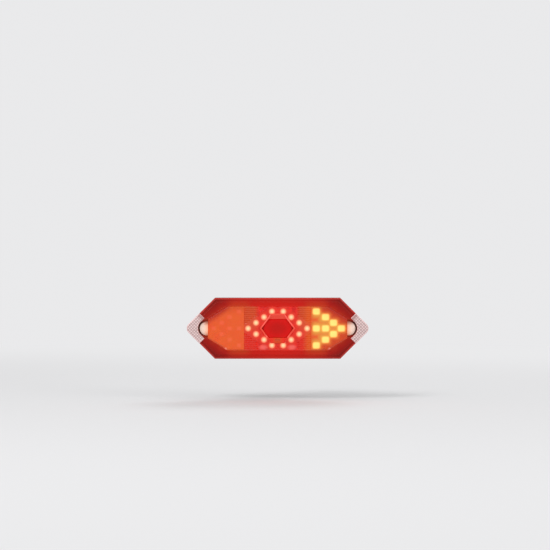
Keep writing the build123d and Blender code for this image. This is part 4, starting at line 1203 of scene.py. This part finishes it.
def stem_thread(start, end):
    """Thread on the stem from one place along Y to a lower one."""
    turns = (start - end) / thread_pitch
    steps = int(turns * thread_steps)
    sections = []
    for step in range(steps + 1):
        share = step / steps
        middle = start + (end - start) * share
        angle = 2 * math.pi * middle / thread_pitch
        fade = fade_at_ends(share, 0.5 / turns)
        root = stem_radius - thread_root
        crest = stem_radius + fade * thread_height
        section = [
            (root, thread_half_width), (crest, thread_crest_half_width),
            (crest, -thread_crest_half_width), (root, -thread_half_width)]
        sections.append([
            (stem_x + radius * math.cos(angle), middle + along, radius * math.sin(angle))
            for radius, along in section])
    return sections


band_thread = swept_mesh("band_thread", [
    stem_thread(-stem_root_back - thread_end_space, lug_back + thread_end_space),
    stem_thread(nut_low.y - thread_end_space, stem_end + thread_end_space)])
band_thread.data.materials.append(band_nylon)
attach(band_thread, "bracket")
print("thread turns:", round((-stem_root_back - lug_back) / thread_pitch, 1), "behind the lug")

# %% [markdown]
# ## Stage and light
# The floor is a wide plain sheet a little below the light, which hangs from its bracket. It is pale, takes
# the soft shadow, and fades into the background's own colour further out, so that no horizon shows. Seen
# from underneath it is clear, so that the underside can be looked at too.

# %% Build the floor and the background
floor_height = -0.047
floor_radius = 4.0
fade_start = 0.30
fade_end = 1.10
background_colour = (0.82, 0.82, 0.83)
background_strength = 1.0
ambient_strength = 0.55

bpy.ops.mesh.primitive_circle_add(
    vertices=96, radius=floor_radius, fill_type="NGON", location=(0, 0, floor_height))
floor = bpy.context.object
floor.name = "floor"


def make_floor_material():
    material, tree, surface = start_material("floor_paper")
    set_values(surface, {"Base Color": (0.80, 0.80, 0.81, 1.0), "Roughness": 0.9, "Specular IOR Level": 0.1})
    fade = ramp(tree, length_of(tree, object_place(tree)), fade_start, fade_end)
    backdrop = add(tree, "Emission", {"Color": background_colour, "Strength": background_strength})
    faded = add(tree, "MixShader", {0: fade, 1: surface.outputs[0], 2: backdrop.outputs[0]})
    clear = add(tree, "BsdfTransparent")
    below = add(tree, "NewGeometry").outputs["Backfacing"]
    switch = add(tree, "MixShader", {0: below, 1: faded.outputs[0], 2: clear.outputs[0]})
    tree.links.new(switch.outputs[0], tree.nodes["Material Output"].inputs["Surface"])
    return material


floor.data.materials.append(make_floor_material())

world = bpy.data.worlds.new("studio")
bpy.context.scene.world = world
world.use_nodes = True
tree = world.node_tree
ambient = tree.nodes["Background"]
ambient.inputs["Color"].default_value = (1.0, 1.0, 1.0, 1.0)
ambient.inputs["Strength"].default_value = ambient_strength
seen = add(tree, "Background", {"Color": background_colour, "Strength": background_strength})
path = add(tree, "LightPath")
seen_rays = maths(tree, "MAXIMUM", path.outputs["Is Camera Ray"], path.outputs["Is Glossy Ray"])
seen_rays = maths(tree, "MAXIMUM", seen_rays, path.outputs["Is Transmission Ray"])
world_mix = add(tree, "MixShader", {0: seen_rays, 1: ambient.outputs[0], 2: seen.outputs[0]})
tree.links.new(world_mix.outputs[0], tree.nodes["World Output"].inputs["Surface"])
print("floor", round(1000 * floor_height, 1), "mm below the axis")

# %% [markdown]
# Three large area lamps make the plain, soft light of a studio: a key from the upper left in front, a
# weaker fill from the right, and one from behind that draws the edges and lights the bracket.

# %% Place the lamps
def add_lamp(name, place, size, watts, target=(0.0, -0.02, 0.0)):
    data = bpy.data.lights.new(name, "AREA")
    data.shape = "RECTANGLE"
    data.size, data.size_y = size
    data.energy = watts
    lamp = bpy.data.objects.new(name, data)
    bpy.context.scene.collection.objects.link(lamp)
    lamp.location = place
    lamp.rotation_euler = (Vector(target) - Vector(place)).to_track_quat("-Z", "Y").to_euler()
    return lamp


add_lamp("key", (-0.9, -1.3, 1.2), (0.9, 0.7), 14.0)
add_lamp("fill", (1.2, -1.1, 0.5), (0.8, 0.8), 5.0)
add_lamp("back", (0.5, 1.4, 1.1), (1.0, 0.6), 9.0)
print("lamps placed")

# %% Set the view transform
import json

bpy.context.scene.view_settings.view_transform = "Standard"
